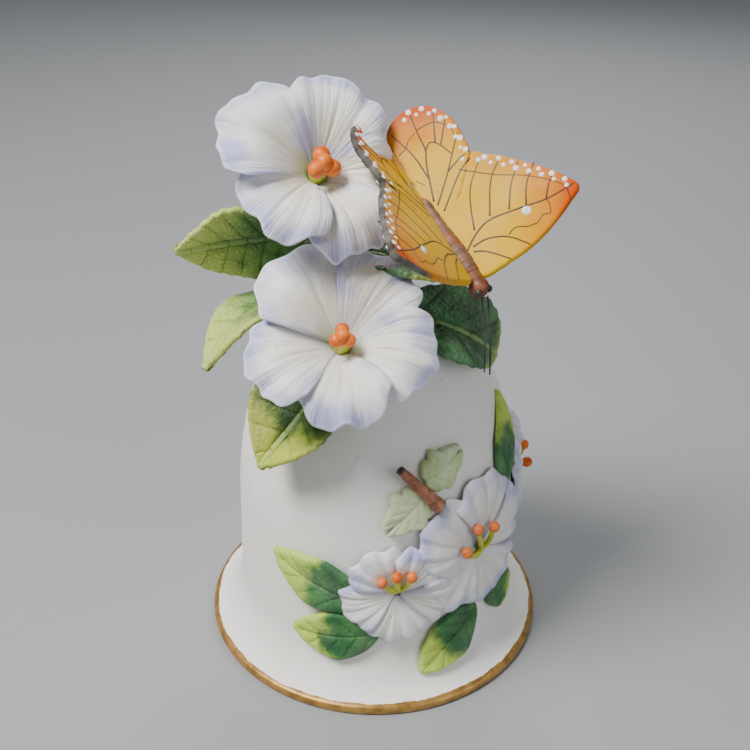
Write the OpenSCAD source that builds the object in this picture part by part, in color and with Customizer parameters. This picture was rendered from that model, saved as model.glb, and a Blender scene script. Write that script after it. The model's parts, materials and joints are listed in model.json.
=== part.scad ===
// Porcelain flower bell: a flared bisque bell with two modelled flowers, leaves and a butterfly
// luted on its crown, painted relief on its wall, and a porcelain clapper hung on a wire inside.
// Frame: millimetres, +Z up, origin at the centre of the foot rim on the table, front toward -Y.

/* [Bell] */
// Outer diameter of the foot rim
foot_d = 76; // [72:0.5:80]
// Height of the crown, before the flowers
crown_h = 79; // [76:0.5:82]
// Outer diameter of the wall just above the flare
waist_d = 61.4; // [60:0.2:63]
// Thickness of the wall
wall = 2.7; // [2.2:0.1:3.2]
// Height at which the straight wall turns into the dome
shoulder_h = 32; // [28:1:36]
// Radius of the almost flat part of the crown
crown_flat_r = 6.2; // [5:0.2:8]

/* [Clapper] */
// Height of the clapper's pivot, under the hanger ring
pivot_h = 65; // [63:0.5:66]
// Distance from the pivot to the middle of the ball
clapper_len = 41; // [38:0.5:42]
// Diameter of the porcelain ball
ball_d = 15; // [13:0.5:16]
// Diameter of the clapper's brass wire
wire_d = 1.2; // [1:0.1:1.5]

/* [Flowers] */
// Thickness of a petal at its middle
petal_t = 1.3; // [1:0.1:1.6]
// Depth of the flower's cup
cup_depth = 10.5; // [9:0.5:12]
// Radius of the throat where the petals meet
throat_r = 2; // [1.6:0.1:2.4]
// Length of the upper flower's petals against the lower one's
upper_size = 1; // [0.9:0.02:1.05]

/* [Foliage] */
// Thickness of a leaf
leaf_t = 1.4; // [1:0.1:1.8]
// Radius of the stems
stem_r = 2.2; // [1.8:0.1:2.6]

/* [Butterfly] */
// Thickness of a wing
wing_t = 1.5; // [1.2:0.1:1.8]
// Angle by which each wing is raised above the back
wing_lift = 35; // [30:1:40]
// Length of the body from tail to head
insect_len = 19.3; // [18:0.1:20]

/* [Relief] */
// Height of the relief petals above the wall
relief_h = 2.4; // [1.8:0.1:2.8]
// How deep the relief is bedded in the wall
bedding = 0.6; // [0.4:0.1:0.8]

/* [Hidden] */

bisque = "whitesmoke";
petal_tint = "lavender";
leaf_green = "olivedrab";
leaf_dark = "darkolivegreen";
chartreuse = "yellowgreen";
anther_orange = "darkorange";
wing_yellow = "gold";
wing_orange = "orange";
insect_brown = "sienna";
wire_black = "black";
brass_wire = "goldenrod";

// ---- Bell profile ----
foot_r = foot_d / 2;
waist_r = waist_d / 2;
lip_h = 2.2;
flare_h = 14.4;
flare_in = foot_r - 0.6 - waist_r;
flare_up = flare_h - lip_h;
wall_taper = 0.5;
dome_r = waist_r - wall_taper - crown_flat_r;
dome_up = crown_h - shoulder_h;
fine = 96;

// Radius of the outer wall at height z
function outer_r(z) =
    z < lip_h ? foot_r
    : z < flare_h ? waist_r + flare_in * (1 - sin(acos(1 - (z - lip_h) / flare_up)))
    : z < shoulder_h ? waist_r - wall_taper * (z - flare_h) / (shoulder_h - flare_h)
    : crown_flat_r + dome_r * cos(asin(min(1, (z - shoulder_h) / dome_up)));

// One side of the wall from the foot to the crown, moved inward by t
function wall_line(t) = concat(
    [for (a = [0:10:90]) [waist_r + flare_in * (1 - sin(a)) - t, lip_h + flare_up * (1 - cos(a))]],
    [[waist_r - wall_taper - t, shoulder_h]],
    [for (a = [6:6:90]) [
        crown_flat_r + dome_r * cos(a) - t * cos(a),
        shoulder_h + dome_up * sin(a) - t * sin(a)]]);

function reversed(list) = [for (i = [len(list) - 1:-1:0]) list[i]];

module bell_shell() {
    color(bisque) rotate_extrude($fn = fine)
        polygon(concat(
            [[foot_r - wall - 0.6, 0], [foot_r - 0.3, 0], [foot_r, 0.4], [foot_r, 1.6]],
            wall_line(0),
            [[0, crown_h], [0, crown_h - wall]],
            reversed(wall_line(wall))));
}

// ---- Hanging loop and clapper ----
lug_ring_r = 3.2;
lug_r = 1.2;
lug_h = crown_h - wall - 2.6;
ring_r = 2.9;
ring_h = lug_h - lug_ring_r - 0.3;
bead_r = 1.3;

// A ring of wire or clay in the XZ plane, turned by yaw about Z
module upright_ring(radius, thick, h, yaw) {
    translate([0, 0, h]) rotate([0, 0, yaw]) rotate([90, 0, 0])
        rotate_extrude($fn = fine) translate([radius, 0]) circle(r = thick, $fn = 24);
}

module crown_lug() {
    color(bisque) upright_ring(lug_ring_r, lug_r, lug_h, 0);
}

module hanger_ring() {
    color(brass_wire) upright_ring(ring_r, wire_d / 2, ring_h, 90);
}

module swivel_bead() {
    color(brass_wire) translate([0, 0, pivot_h]) sphere(r = bead_r, $fn = 32);
}

module clapper_wire() {
    color(brass_wire) translate([0, 0, pivot_h - clapper_len + ball_d / 2 - 0.5])
        cylinder(h = clapper_len - ball_d / 2 + 0.5 - bead_r - 0.25, d = wire_d, $fn = 24);
}

module clapper_ball() {
    color(bisque) translate([0, 0, pivot_h - clapper_len]) sphere(d = ball_d, $fn = fine);
}

module wire_end() {
    color(brass_wire) translate([0, 0, pivot_h - clapper_len - ball_d / 2 - 0.7])
        sphere(r = 1.5, $fn = 32);
}

// ---- Meshes made of a top and a bottom sheet with the same rows and columns ----
function joined(lists) = [for (list = lists) for (item = list) item];

module two_sheets(top, bottom) {
    rows = len(top);
    cols = len(top[0]);
    n = rows * cols;
    function at(i, j) = i * cols + j;
    upper = [for (i = [0:rows - 2]) for (j = [0:cols - 2]) each [
        [at(i, j), at(i, j + 1), at(i + 1, j + 1)],
        [at(i, j), at(i + 1, j + 1), at(i + 1, j)]]];
    lower = [for (f = upper) [f[2] + n, f[1] + n, f[0] + n]];
    rim = concat(
        [for (j = [0:cols - 1]) at(0, j)],
        [for (i = [1:rows - 1]) at(i, cols - 1)],
        [for (j = [cols - 2:-1:0]) at(rows - 1, j)],
        [for (i = [rows - 2:-1:1]) at(i, 0)]);
    m = len(rim);
    sides = [for (k = [0:m - 1]) each [
        [rim[k], rim[k] + n, rim[(k + 1) % m]],
        [rim[(k + 1) % m], rim[k] + n, rim[(k + 1) % m] + n]]];
    polyhedron(points = concat(joined(top), joined(bottom)), faces = concat(upper, lower, sides));
}

// A mesh around a centre: rings of points about an apex on the top and on the bottom
module two_fans(top_apex, top, bottom_apex, bottom) {
    rings = len(top);
    n = len(top[0]);
    half = rings * n + 1;
    function at(i, j) = 1 + i * n + j % n;
    upper = concat(
        [for (j = [0:n - 1]) [0, at(0, j + 1), at(0, j)]],
        [for (i = [0:rings - 2]) for (j = [0:n - 1]) each [
            [at(i, j), at(i, j + 1), at(i + 1, j + 1)],
            [at(i, j), at(i + 1, j + 1), at(i + 1, j)]]]);
    lower = [for (f = upper) [f[2] + half, f[1] + half, f[0] + half]];
    sides = [for (j = [0:n - 1]) each [
        [at(rings - 1, j), at(rings - 1, j + 1), at(rings - 1, j + 1) + half],
        [at(rings - 1, j), at(rings - 1, j + 1) + half, at(rings - 1, j) + half]]];
    polyhedron(
        points = concat([top_apex], joined(top), [bottom_apex], joined(bottom)),
        faces = concat(upper, lower, sides));
}

// A tapered rod with flat ends between two points
module rod(from, to, r_from, r_to) {
    d = to - from;
    translate(from) rotate([0, acos(d[2] / norm(d)), atan2(d[1], d[0])])
        cylinder(h = norm(d), r1 = r_from, r2 = r_to, $fn = 24);
}

// A turned spindle with bevelled ends between two points
module spindle(from, to, r_from, r_to) {
    d = to - from;
    bevel = 0.5;
    translate(from) rotate([0, acos(d[2] / norm(d)), atan2(d[1], d[0])])
        rotate_extrude($fn = 32) polygon([[0, 0], [r_from - bevel / 2, 0], [r_from, bevel],
            [r_to, norm(d) - bevel], [r_to - bevel / 2, norm(d)], [0, norm(d)]]);
}

// ---- Flowers ----
// Each flower: place of its throat, height of its axis above the horizon, turn about Z
upper_at = [-12.4, -9, 105.8];
upper_elevation = 38;
upper_yaw = 20;
lower_at = [-6.9, -21, 77.2];
lower_elevation = 44;
lower_yaw = 5;

// Each petal: direction on the flower's face, length, half its spread in degrees
upper_petals = [[64, 17.5, 45], [143, 19.5, 42], [214, 16, 50], [285, 17, 41], [350, 13.4, 38]];
lower_petals = [[119, 19.5, 48], [200, 18, 38], [269, 16.5, 43], [344, 17.5, 40], [54, 18, 38]];

petal_rows = 10;
petal_cols = 12;
petal_lap = 1.1;
petal_notch = 0.28;
petal_droop = 18;
petal_ruffle = 0.6;

// Height of a petal above the throat: x runs 0..1 from throat to edge, t -1..1 across
function petal_height(x, t) =
    cup_depth * pow(sin(90 * min(1, x / 0.75)), 0.8)
    - petal_droop * pow(max(0, x - 0.6), 2)
    + petal_lap * t * min(1, 2 * x)
    + petal_ruffle * cos(540 * t) * pow(x, 3);

function petal_point(petal, i, j, drop) =
    let (
        t = 2 * j / petal_cols - 1,
        a = petal[0] + t * petal[2],
        edge = petal[1] * (1 - petal_notch * pow(abs(t), 3)),
        r = throat_r + (edge - throat_r) * i / petal_rows,
        x = r / petal[1])
    [r * cos(a), r * sin(a), petal_height(x, t) - drop * (1 - 0.35 * pow(x, 2))];

module petal(petal) {
    function sheet(drop) = [for (i = [0:petal_rows]) [for (j = [0:petal_cols])
        petal_point(petal, i, j, drop)]];
    color(petal_tint) two_sheets(sheet(0), sheet(petal_t));
}

module on_upper() {
    translate(upper_at) rotate([0, 0, upper_yaw]) rotate([90 - upper_elevation, 0, 0])
        children();
}

module on_lower() {
    translate(lower_at) rotate([0, 0, lower_yaw]) rotate([90 - lower_elevation, 0, 0])
        children();
}

module calyx() {
    color(leaf_green) translate([0, 0, -7]) cylinder(h = 9.5, r1 = 1.9, r2 = 3.3, $fn = 48);
}

module pistil() {
    color(chartreuse) translate([0, 0, 2]) cylinder(h = 6.8, r1 = 1.7, r2 = 1.4, $fn = 32);
}

// Round anthers in a ring on top of the pistil, and one above them
module anthers(count, radius, spread, height) {
    color(anther_orange) {
        for (k = [0:count - 1])
            rotate([0, 0, 90 + k * 360 / count]) translate([spread, 0, height])
                sphere(r = radius, $fn = 32);
        translate([0, 0, height + 0.8]) sphere(r = radius, $fn = 32);
    }
}

module upper_petal(k) {
    p = upper_petals[k];
    on_upper() petal([p[0], p[1] * upper_size, p[2]]);
}

module lower_petal(k) {
    on_lower() petal(lower_petals[k]);
}

module upper_calyx() { on_upper() calyx(); }
module upper_pistil() { on_upper() pistil(); }
module upper_anthers() { on_upper() anthers(3, 1.6, 1.7, 9); }
module lower_calyx() { on_lower() calyx(); }
module lower_pistil() { on_lower() pistil(); }
module lower_anthers() { on_lower() anthers(3, 1.35, 1.3, 9); }

// ---- Stems ----
module main_stem() {
    fork = [-6, -1, 91];
    color(leaf_green) {
        translate(fork) sphere(r = stem_r + 0.15, $fn = 32);
        rod([-1, 0, crown_h - 1.5], fork, stem_r + 0.8, stem_r);
        rod(fork, [-14.6, -4.2, 101.5], stem_r - 0.05, stem_r - 0.4);
        rod(fork, [-14.3, -6.8, 94.8], stem_r - 0.35, 1.3);
        rod([-3, -0.5, 84], [-12.5, -8.5, 83], stem_r - 0.3, 1.3);
        rod([-2, -0.3, 80.5], [4, -10.5, 80.8], stem_r - 0.35, 1.3);
    }
}

module butterfly_stem() {
    color(leaf_green) rod([-4.5, -1, 88], [9.2, -13, 96.6], stem_r - 0.5, 1.2);
}

// ---- Leaves ----
// A leaf along +X from its root, bent by bend degrees, folded up by fold degrees at its midrib
leaf_rows = 12;
leaf_cols = 6;

function leaf_point(length, width, bend, fold, wave, i, j, drop) =
    let (
        s = 0.02 + 0.96 * i / leaf_rows,
        t = 2 * j / leaf_cols - 1,
        along = length * sin(bend * s) / (bend * PI / 180),
        rise = length * (1 - cos(bend * s)) / (bend * PI / 180),
        half = width * pow(sin(180 * pow(s, 0.8)), 0.85),
        lift = abs(t) * half * sin(fold) + wave * t * t * sin(900 * s) - drop)
    [along - lift * sin(bend * s), t * half * cos(fold), rise + lift * cos(bend * s)];

module leaf(root, yaw, pitch, roll, length, width, bend, fold, wave, tint) {
    function sheet(drop) = [for (i = [0:leaf_rows]) [for (j = [0:leaf_cols])
        leaf_point(length, width, bend, fold, wave, i, j, drop)]];
    color(tint) translate(root) rotate([0, 0, yaw]) rotate([0, -pitch, 0]) rotate([roll, 0, 0])
        two_sheets(sheet(-leaf_t / 2), sheet(leaf_t / 2));
}

module leaf_upper_left() { leaf([-14, -7, 95], 178, -5, -119, 25.3, 10.6, 12, 8, 0.05, leaf_green); }
module leaf_middle_left() { leaf([-12, -9, 83], 205, 12, 15, 27.5, 10.6, -68, 8, 0.05, leaf_dark); }
module leaf_lower_left() { leaf([-9, -20, 71], 208, -50, -27, 22, 10.8, 12, 31, 0, leaf_dark); }
module leaf_right() { leaf([3, -11, 81], -17, -4, 47, 28, 8.6, -86, 32, 0, leaf_dark); }
module leaf_centre() { leaf([-9, -7, 92], -22, 2, 0, 26, 8, -14, 8, 0.05, leaf_green); }
module leaf_back_left() { leaf([-7, 0.5, 90], 120, 6, 10, 25, 9.5, -60, 10, 0.05, leaf_dark); }
module leaf_back_right() { leaf([-4, 0.5, 87], 35, 14, -8, 23, 9, -48, 10, 0.05, leaf_dark); }

// ---- Butterfly ----
// Tail of the body, and the turn, dip and roll that lay its length along local +X
insect_at = [7.8, -13, 103.2];
insect_yaw = -50.5;
insect_dip = 36.4;
insect_roll = 7.6;
tail_r = 0.9;
thorax_r = 1.7;
head_r = 1.9;
eye_r = 0.55;
antenna_r = 0.25;

// Wing outlines: [along the body from the tail, out from the body]
forewing = [[17, 0.6], [18.2, 7.4], [17.9, 12.8], [16.6, 17.8], [15, 21.8], [13.4, 24.6],
    [9.9, 23.2], [6.6, 21.2], [3.2, 18.5], [0.3, 16.1], [-1.2, 14.2], [-2.8, 12.1],
    [2.5, 6.5], [7, 0.6]];
hindwing = [[7.4, 0.6], [2.8, 6.3], [-2.6, 11.9], [-6.8, 12.8], [-10.2, 13], [-12.9, 12.2],
    [-15.4, 10.5], [-16.8, 7.8], [-17.1, 5.2], [-16.4, 2.8], [-14.8, 1], [-11.5, 0.5], [0, 0.6]];

// A closed curve through the given points, with steps points on each stretch
function through(points, steps) =
    let (n = len(points))
    [for (k = [0:n - 1]) for (s = [0:steps - 1])
        let (
            a = points[(k + n - 1) % n],
            b = points[k],
            c = points[(k + 1) % n],
            d = points[(k + 2) % n],
            u = s / steps)
        0.5 * (2 * b + (c - a) * u + (2 * a - 5 * b + 4 * c - d) * u * u
            + (3 * b - a - 3 * c + d) * u * u * u)];

module on_insect() {
    translate(insect_at) rotate([0, 0, insect_yaw]) rotate([0, insect_dip, 0])
        rotate([insect_roll, 0, 0]) children();
}

module wing(outline, side, tint) {
    color(tint) on_insect() mirror([0, side < 0 ? 1 : 0, 0]) rotate([wing_lift, 0, 0])
        translate([0, 0, -wing_t / 2])
            linear_extrude(wing_t) polygon(through(outline, 3));
}

module butterfly_forewing_left() { wing(forewing, 1, wing_yellow); }
module butterfly_hindwing_left() { wing(hindwing, 1, wing_orange); }
module butterfly_forewing_right() { wing(forewing, -1, wing_yellow); }
module butterfly_hindwing_right() { wing(hindwing, -1, wing_orange); }

module butterfly_body() {
    color(insect_brown) on_insect() translate([0, 0, 0.6]) rotate([0, 90, 0])
        rotate_extrude($fn = 32) polygon([[0, -0.8], [tail_r * 0.7, -0.5], [tail_r, 0.4],
            [tail_r * 1.25, 6], [thorax_r, 11], [thorax_r, 15], [thorax_r * 0.8, insect_len - 1],
            [0, insect_len - 1]]);
}

module butterfly_head() {
    color(insect_brown) on_insect() translate([insect_len - 0.4, 0, 0.6]) {
        sphere(r = head_r, $fn = 32);
        for (side = [-1, 1])
            translate([head_r * 0.62, side * head_r * 0.62, head_r * 0.3])
                sphere(r = eye_r, $fn = 24);
    }
}

module butterfly_antennae() {
    color(wire_black) {
        rod([18.2, -26.2, 91], [19.2, -28.8, 77.5], antenna_r, antenna_r);
        rod([19.2, -25.8, 91.2], [20.3, -28.2, 76.6], antenna_r, antenna_r);
    }
}

// ---- Relief on the wall ----
// A point on the wall: azimuth from the front toward +X, height, and how far it stands proud
function on_wall(azimuth, z, proud) =
    let (r = outer_r(z) + proud)
    [r * sin(azimuth), -r * cos(azimuth), z];

// The same, given as a shift in millimetres along the wall from an azimuth and a height
function near_wall(azimuth, z, along, up, proud) =
    on_wall(azimuth + along / waist_r * 180 / PI, z + up, proud);

relief_rings = 5;
relief_steps = 40;

// Five broad lobes around a sunken throat
function bloom_edge(radius, a) = radius * (0.76 + 0.24 * pow(abs(cos(2.5 * a)), 0.5));
function bloom_height(x) = relief_h * (0.35 + 0.65 * sin(180 * pow(x, 1.4) * 0.62));

function bloom_point(at, radius, turn, i, j, buried) =
    let (
        x = i / relief_rings,
        a = turn + 360 * j / relief_steps,
        r = x * bloom_edge(radius, a - turn))
    near_wall(at[0], at[1], r * cos(a), r * sin(a), buried ? -bedding : bloom_height(x));

module relief_bloom(at, radius, turn) {
    function sheet(buried) = [for (i = [1:relief_rings]) [for (j = [0:relief_steps - 1])
        bloom_point(at, radius, turn, i, j, buried)]];
    color(petal_tint) two_fans(
        near_wall(at[0], at[1], 0, 0, bloom_height(0)), sheet(false),
        near_wall(at[0], at[1], 0, 0, -bedding), sheet(true));
}

left_bloom = [9, 27.5];
right_bloom = [42, 33.5];
side_bloom = [96, 38];

module relief_flower_left() { relief_bloom(left_bloom, 12, 50); }
module relief_flower_right() { relief_bloom(right_bloom, 16, 75); }
module relief_flower_side() { relief_bloom(side_bloom, 12, 80); }

// Three filaments that fan out from the throat of a bloom, each with a round anther
module relief_stamens(at, root, tips) {
    foot = near_wall(at[0], at[1], root[0], root[1], relief_h * 0.6);
    color(chartreuse) translate(foot) sphere(r = 0.95, $fn = 24);
    for (tip = tips) {
        head = near_wall(at[0], at[1], tip[0], tip[1], relief_h + 0.9);
        color(chartreuse) rod(foot, head, 0.65, 0.55);
        color(anther_orange) translate(head) sphere(r = 1.2, $fn = 24);
    }
}

module relief_stamens_left() {
    relief_stamens(left_bloom, [0, 0.6], [[-3.4, 4.9], [-0.7, 6], [2, 5.6]]);
}

module relief_stamens_right() {
    relief_stamens(right_bloom, [1.5, -1.6], [[-4.4, 1.9], [-1.8, 6.2], [2.5, 4.7]]);
}

module relief_stamens_side() {
    relief_stamens(side_bloom, [0, -1], [[-4, 1.4], [0, 3.2], [4, 1.6]]);
}

// A leaf lying on the wall from root to tip, each an azimuth and a height
function wall_leaf_point(root, tip, width, proud, i, j, buried) =
    let (
        s = 0.02 + 0.96 * i / leaf_rows,
        t = 2 * j / leaf_cols - 1,
        run = [(tip[0] - root[0]) * PI / 180 * waist_r, tip[1] - root[1]],
        across = [-run[1], run[0]] / norm(run),
        half = width * pow(sin(180 * pow(s, 0.85)), 0.85),
        p = run * s + across * half * t)
    near_wall(root[0], root[1], p[0], p[1],
        buried ? -bedding : proud * (0.45 + 0.55 * sin(180 * s)) * (0.7 + 0.3 * abs(t)));

module wall_leaf(root, tip, width, proud, tint) {
    function sheet(buried) = [for (i = [0:leaf_rows]) [for (j = [0:leaf_cols])
        wall_leaf_point(root, tip, width, proud, i, j, buried)]];
    color(tint) two_sheets(reversed(sheet(false)), reversed(sheet(true)));
}

module relief_leaf_upper_left() { wall_leaf([-3, 24.5], [-42.5, 32], 6, 1.8, leaf_dark); }
module relief_leaf_lower_left() { wall_leaf([2, 16.8], [-33, 14.2], 5.8, 1.8, leaf_dark); }
module relief_leaf_front() { wall_leaf([43, 18], [17.6, 6], 5.6, 1.8, leaf_dark); }
module relief_leaf_low_right() { wall_leaf([50, 18.5], [74, 13.2], 4.4, 1.8, leaf_green); }
module relief_leaf_high_right() { wall_leaf([60, 42], [76, 61], 5, 1.6, leaf_dark); }

module relief_butterfly_wings() {
    wall_leaf([19.5, 52], [37, 56.5], 4, 1.3, "palegreen");
    wall_leaf([18.5, 49], [4, 42], 4.4, 1.3, "palegreen");
}

module relief_butterfly_body() {
    color(insect_brown) spindle(on_wall(8.7, 56, 2.2), on_wall(24, 47, 2.2), 0.8, 1.6);
}

bell_shell();
crown_lug();
hanger_ring();
swivel_bead();
clapper_wire();
clapper_ball();
wire_end();
main_stem();
butterfly_stem();
upper_calyx();
upper_petal(0);  // upper_petal_1
upper_petal(1);  // upper_petal_2
upper_petal(2);  // upper_petal_3
upper_petal(3);  // upper_petal_4
upper_petal(4);  // upper_petal_5
upper_pistil();
upper_anthers();
lower_calyx();
lower_petal(0);  // lower_petal_1
lower_petal(1);  // lower_petal_2
lower_petal(2);  // lower_petal_3
lower_petal(3);  // lower_petal_4
lower_petal(4);  // lower_petal_5
lower_pistil();
lower_anthers();
leaf_upper_left();
leaf_middle_left();
leaf_lower_left();
leaf_right();
leaf_centre();
leaf_back_left();
leaf_back_right();
butterfly_body();
butterfly_head();
butterfly_forewing_left();
butterfly_hindwing_left();
butterfly_forewing_right();
butterfly_hindwing_right();
butterfly_antennae();
relief_flower_left();
relief_flower_right();
relief_flower_side();
relief_stamens_left();
relief_stamens_right();
relief_stamens_side();
relief_leaf_upper_left();
relief_leaf_lower_left();
relief_leaf_front();
relief_leaf_low_right();
relief_leaf_high_right();
relief_butterfly_wings();
relief_butterfly_body();
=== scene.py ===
# %% [markdown]
# # A porcelain flower bell
#
# The bell is flared bisque porcelain with a gold painted foot. Flowers, leaves and a butterfly are
# luted on its crown, and flowers and leaves stand in relief on its wall. This lesson builds the looks
# of each piece around the fixed frame that the design gives: every place, direction and size below is
# measured from the frame's own nodes, and only surface detail is added here.

import json
import math

import bpy
import numpy as np
from mathutils import Matrix, Vector

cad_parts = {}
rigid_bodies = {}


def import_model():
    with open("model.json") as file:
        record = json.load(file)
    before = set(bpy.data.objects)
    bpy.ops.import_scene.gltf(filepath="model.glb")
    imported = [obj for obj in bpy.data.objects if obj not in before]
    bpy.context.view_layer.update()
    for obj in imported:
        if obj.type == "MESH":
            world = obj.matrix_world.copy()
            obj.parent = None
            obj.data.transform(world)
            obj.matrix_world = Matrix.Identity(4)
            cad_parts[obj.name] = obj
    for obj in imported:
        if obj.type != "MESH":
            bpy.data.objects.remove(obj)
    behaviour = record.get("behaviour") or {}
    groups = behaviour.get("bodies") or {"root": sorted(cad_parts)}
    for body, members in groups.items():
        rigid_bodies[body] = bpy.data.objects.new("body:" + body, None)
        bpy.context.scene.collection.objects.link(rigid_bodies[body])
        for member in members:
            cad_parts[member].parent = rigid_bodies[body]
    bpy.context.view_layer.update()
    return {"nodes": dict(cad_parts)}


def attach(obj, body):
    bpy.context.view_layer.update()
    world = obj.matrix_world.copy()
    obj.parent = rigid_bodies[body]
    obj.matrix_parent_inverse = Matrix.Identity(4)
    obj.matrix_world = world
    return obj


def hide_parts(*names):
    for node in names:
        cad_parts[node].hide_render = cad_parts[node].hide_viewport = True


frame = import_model()
nodes = frame["nodes"]
MM = 0.001

# %% [markdown]
# ## Camera, floor and light
#
# The camera looks down at about 29 degrees from the front through a long lens, so the flared
# foot reads as a wide ellipse and the flowers face the viewer. The floor and the light are plain: a
# pale flat floor, one large soft key from the upper left, a weaker fill and a low rim light, which is
# what shows the soft sheen of unglazed porcelain best.

# %% Camera
CAMERA_AT = Vector((-0.45, -191.0, 167.3)) * MM
CAMERA_DOWN = math.radians(29.23)
CAMERA_ROLL = math.radians(0.8)

camera_data = bpy.data.cameras.new("camera")
camera_data.sensor_width = 36.0
camera_data.lens = 49.44
camera_data.clip_start = 0.01
camera_data.clip_end = 10.0
camera = bpy.data.objects.new("camera", camera_data)
tilt = Matrix.Rotation(math.pi / 2 - CAMERA_DOWN, 4, "X") @ Matrix.Rotation(CAMERA_ROLL, 4, "Z")
camera.matrix_world = Matrix.Translation(CAMERA_AT) @ tilt
bpy.context.scene.collection.objects.link(camera)
bpy.context.scene.camera = camera
print("camera", tuple(round(c, 3) for c in camera.location))

# %% Floor, light and sky
def stage_plane(name, size, height, colour):
    """A plain square floor, finished with one matt colour."""
    mesh = bpy.data.meshes.new(name)
    s = size / 2
    mesh.from_pydata([(-s, -s, height), (s, -s, height), (s, s, height), (-s, s, height)], [], [(0, 1, 2, 3)])
    floor = bpy.data.objects.new(name, mesh)
    bpy.context.scene.collection.objects.link(floor)
    paint = bpy.data.materials.new(name)
    paint.use_nodes = True
    shader = paint.node_tree.nodes["Principled BSDF"]
    shader.inputs["Base Color"].default_value = (*colour, 1.0)
    shader.inputs["Roughness"].default_value = 0.6
    mesh.materials.append(paint)
    return floor


def soft_lamp(name, place, aim, size, watts, colour=(1.0, 1.0, 1.0)):
    """A square area lamp at a place, turned toward an aim."""
    lamp_data = bpy.data.lights.new(name, "AREA")
    lamp_data.shape = "SQUARE"
    lamp_data.size = size
    lamp_data.energy = watts
    lamp_data.color = colour
    lamp = bpy.data.objects.new(name, lamp_data)
    lamp.location = place
    lamp.rotation_mode = "QUATERNION"
    lamp.rotation_quaternion = (Vector(aim) - Vector(place)).to_track_quat("-Z", "Y")
    bpy.context.scene.collection.objects.link(lamp)
    return lamp


stage_plane("floor", 6.0, 0.0, (0.30, 0.31, 0.32))
middle = (0.0, 0.0, 0.06)
soft_lamp("key", (-0.32, -0.20, 0.62), middle, 0.26, 8.2, (1.0, 0.985, 0.96))
soft_lamp("fill", (0.55, -0.45, 0.30), middle, 0.45, 1.5, (0.94, 0.97, 1.0))
soft_lamp("back", (0.10, 0.60, 0.45), middle, 0.35, 1.8)

world = bpy.data.worlds.new("sky")
bpy.context.scene.world = world
world.use_nodes = True
world.node_tree.nodes["Background"].inputs["Color"].default_value = (0.80, 0.84, 0.90, 1.0)
world.node_tree.nodes["Background"].inputs["Strength"].default_value = 0.25
print("stage: floor,", len(bpy.data.lights), "lamps, sky")

# %% [markdown]
# ## Helpers that measure the frame
#
# Each piece starts from numbers that the frame holds: the corner points of its node. A flower's axis
# runs through its calyx and its pistil, a petal's direction and length are those of its points seen
# along that axis, and a leaf is mirrored about the plane of its midrib. Measuring them here means
# that a change of the design moves the looks with it.


# %% Measuring helpers
def corners(name):
    """The distinct corner points of a frame node, in millimetres."""
    mesh = nodes[name].data
    flat = np.empty(len(mesh.vertices) * 3)
    mesh.vertices.foreach_get("co", flat)
    return np.unique(np.round(flat.reshape(-1, 3) / MM, 4), axis=0)


def unit(vector):
    return vector / np.linalg.norm(vector)


def made(*starts):
    """How many of the pieces made so far have a name with one of these beginnings."""
    return sum(thing.name.startswith(starts) for thing in bpy.data.objects if thing.name not in nodes)


def principal_axes(points):
    """The centre of a set of points and its three principal directions, the longest first."""
    centre = points.mean(axis=0)
    _, axes = np.linalg.eigh(np.cov((points - centre).T))
    return centre, axes.T[::-1]


# %% [markdown]
# ## Helpers that make a mesh
#
# A petal, a leaf and a wing are all thin sheets of clay with a rounded edge. The simplest way to make
# one well is a grid of points for the middle of the sheet, and a half thickness at each point that
# falls to nothing at the free edges along a quarter circle: the top and the bottom then meet in one
# smooth rounded rim, with no separate side wall. The grid's own two parameters become the UV map, in
# millimetres where the finish needs a true scale, and any mask that the finish needs is stored as an
# attribute.


# %% Sheet helpers
def even_steps(count, low=-1.0, high=1.0):
    """Steps from low to high that close up toward both ends, so that a rounded edge is resolved."""
    return low + (high - low) * 0.5 * (1 - np.cos(np.linspace(0, math.pi, count)))


def sheet_normals(sheet, wraps=False):
    """The normal at each point of a grid of points."""
    along = np.gradient(sheet, axis=0)
    if wraps:
        across = (np.roll(sheet, -1, axis=1) - np.roll(sheet, 1, axis=1)) / 2
    else:
        across = np.gradient(sheet, axis=1)
    normal = np.cross(along, across)
    return normal / np.maximum(np.linalg.norm(normal, axis=2, keepdims=True), 1e-9)


def rounded(distance, half):
    """Half thickness of a sheet at a distance from its free edge: a quarter circle, then constant."""
    reach = np.clip(distance / half, 0.0, 1.0)
    return half * np.sqrt(np.maximum(1 - (1 - reach) ** 2, 0.0))


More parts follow.
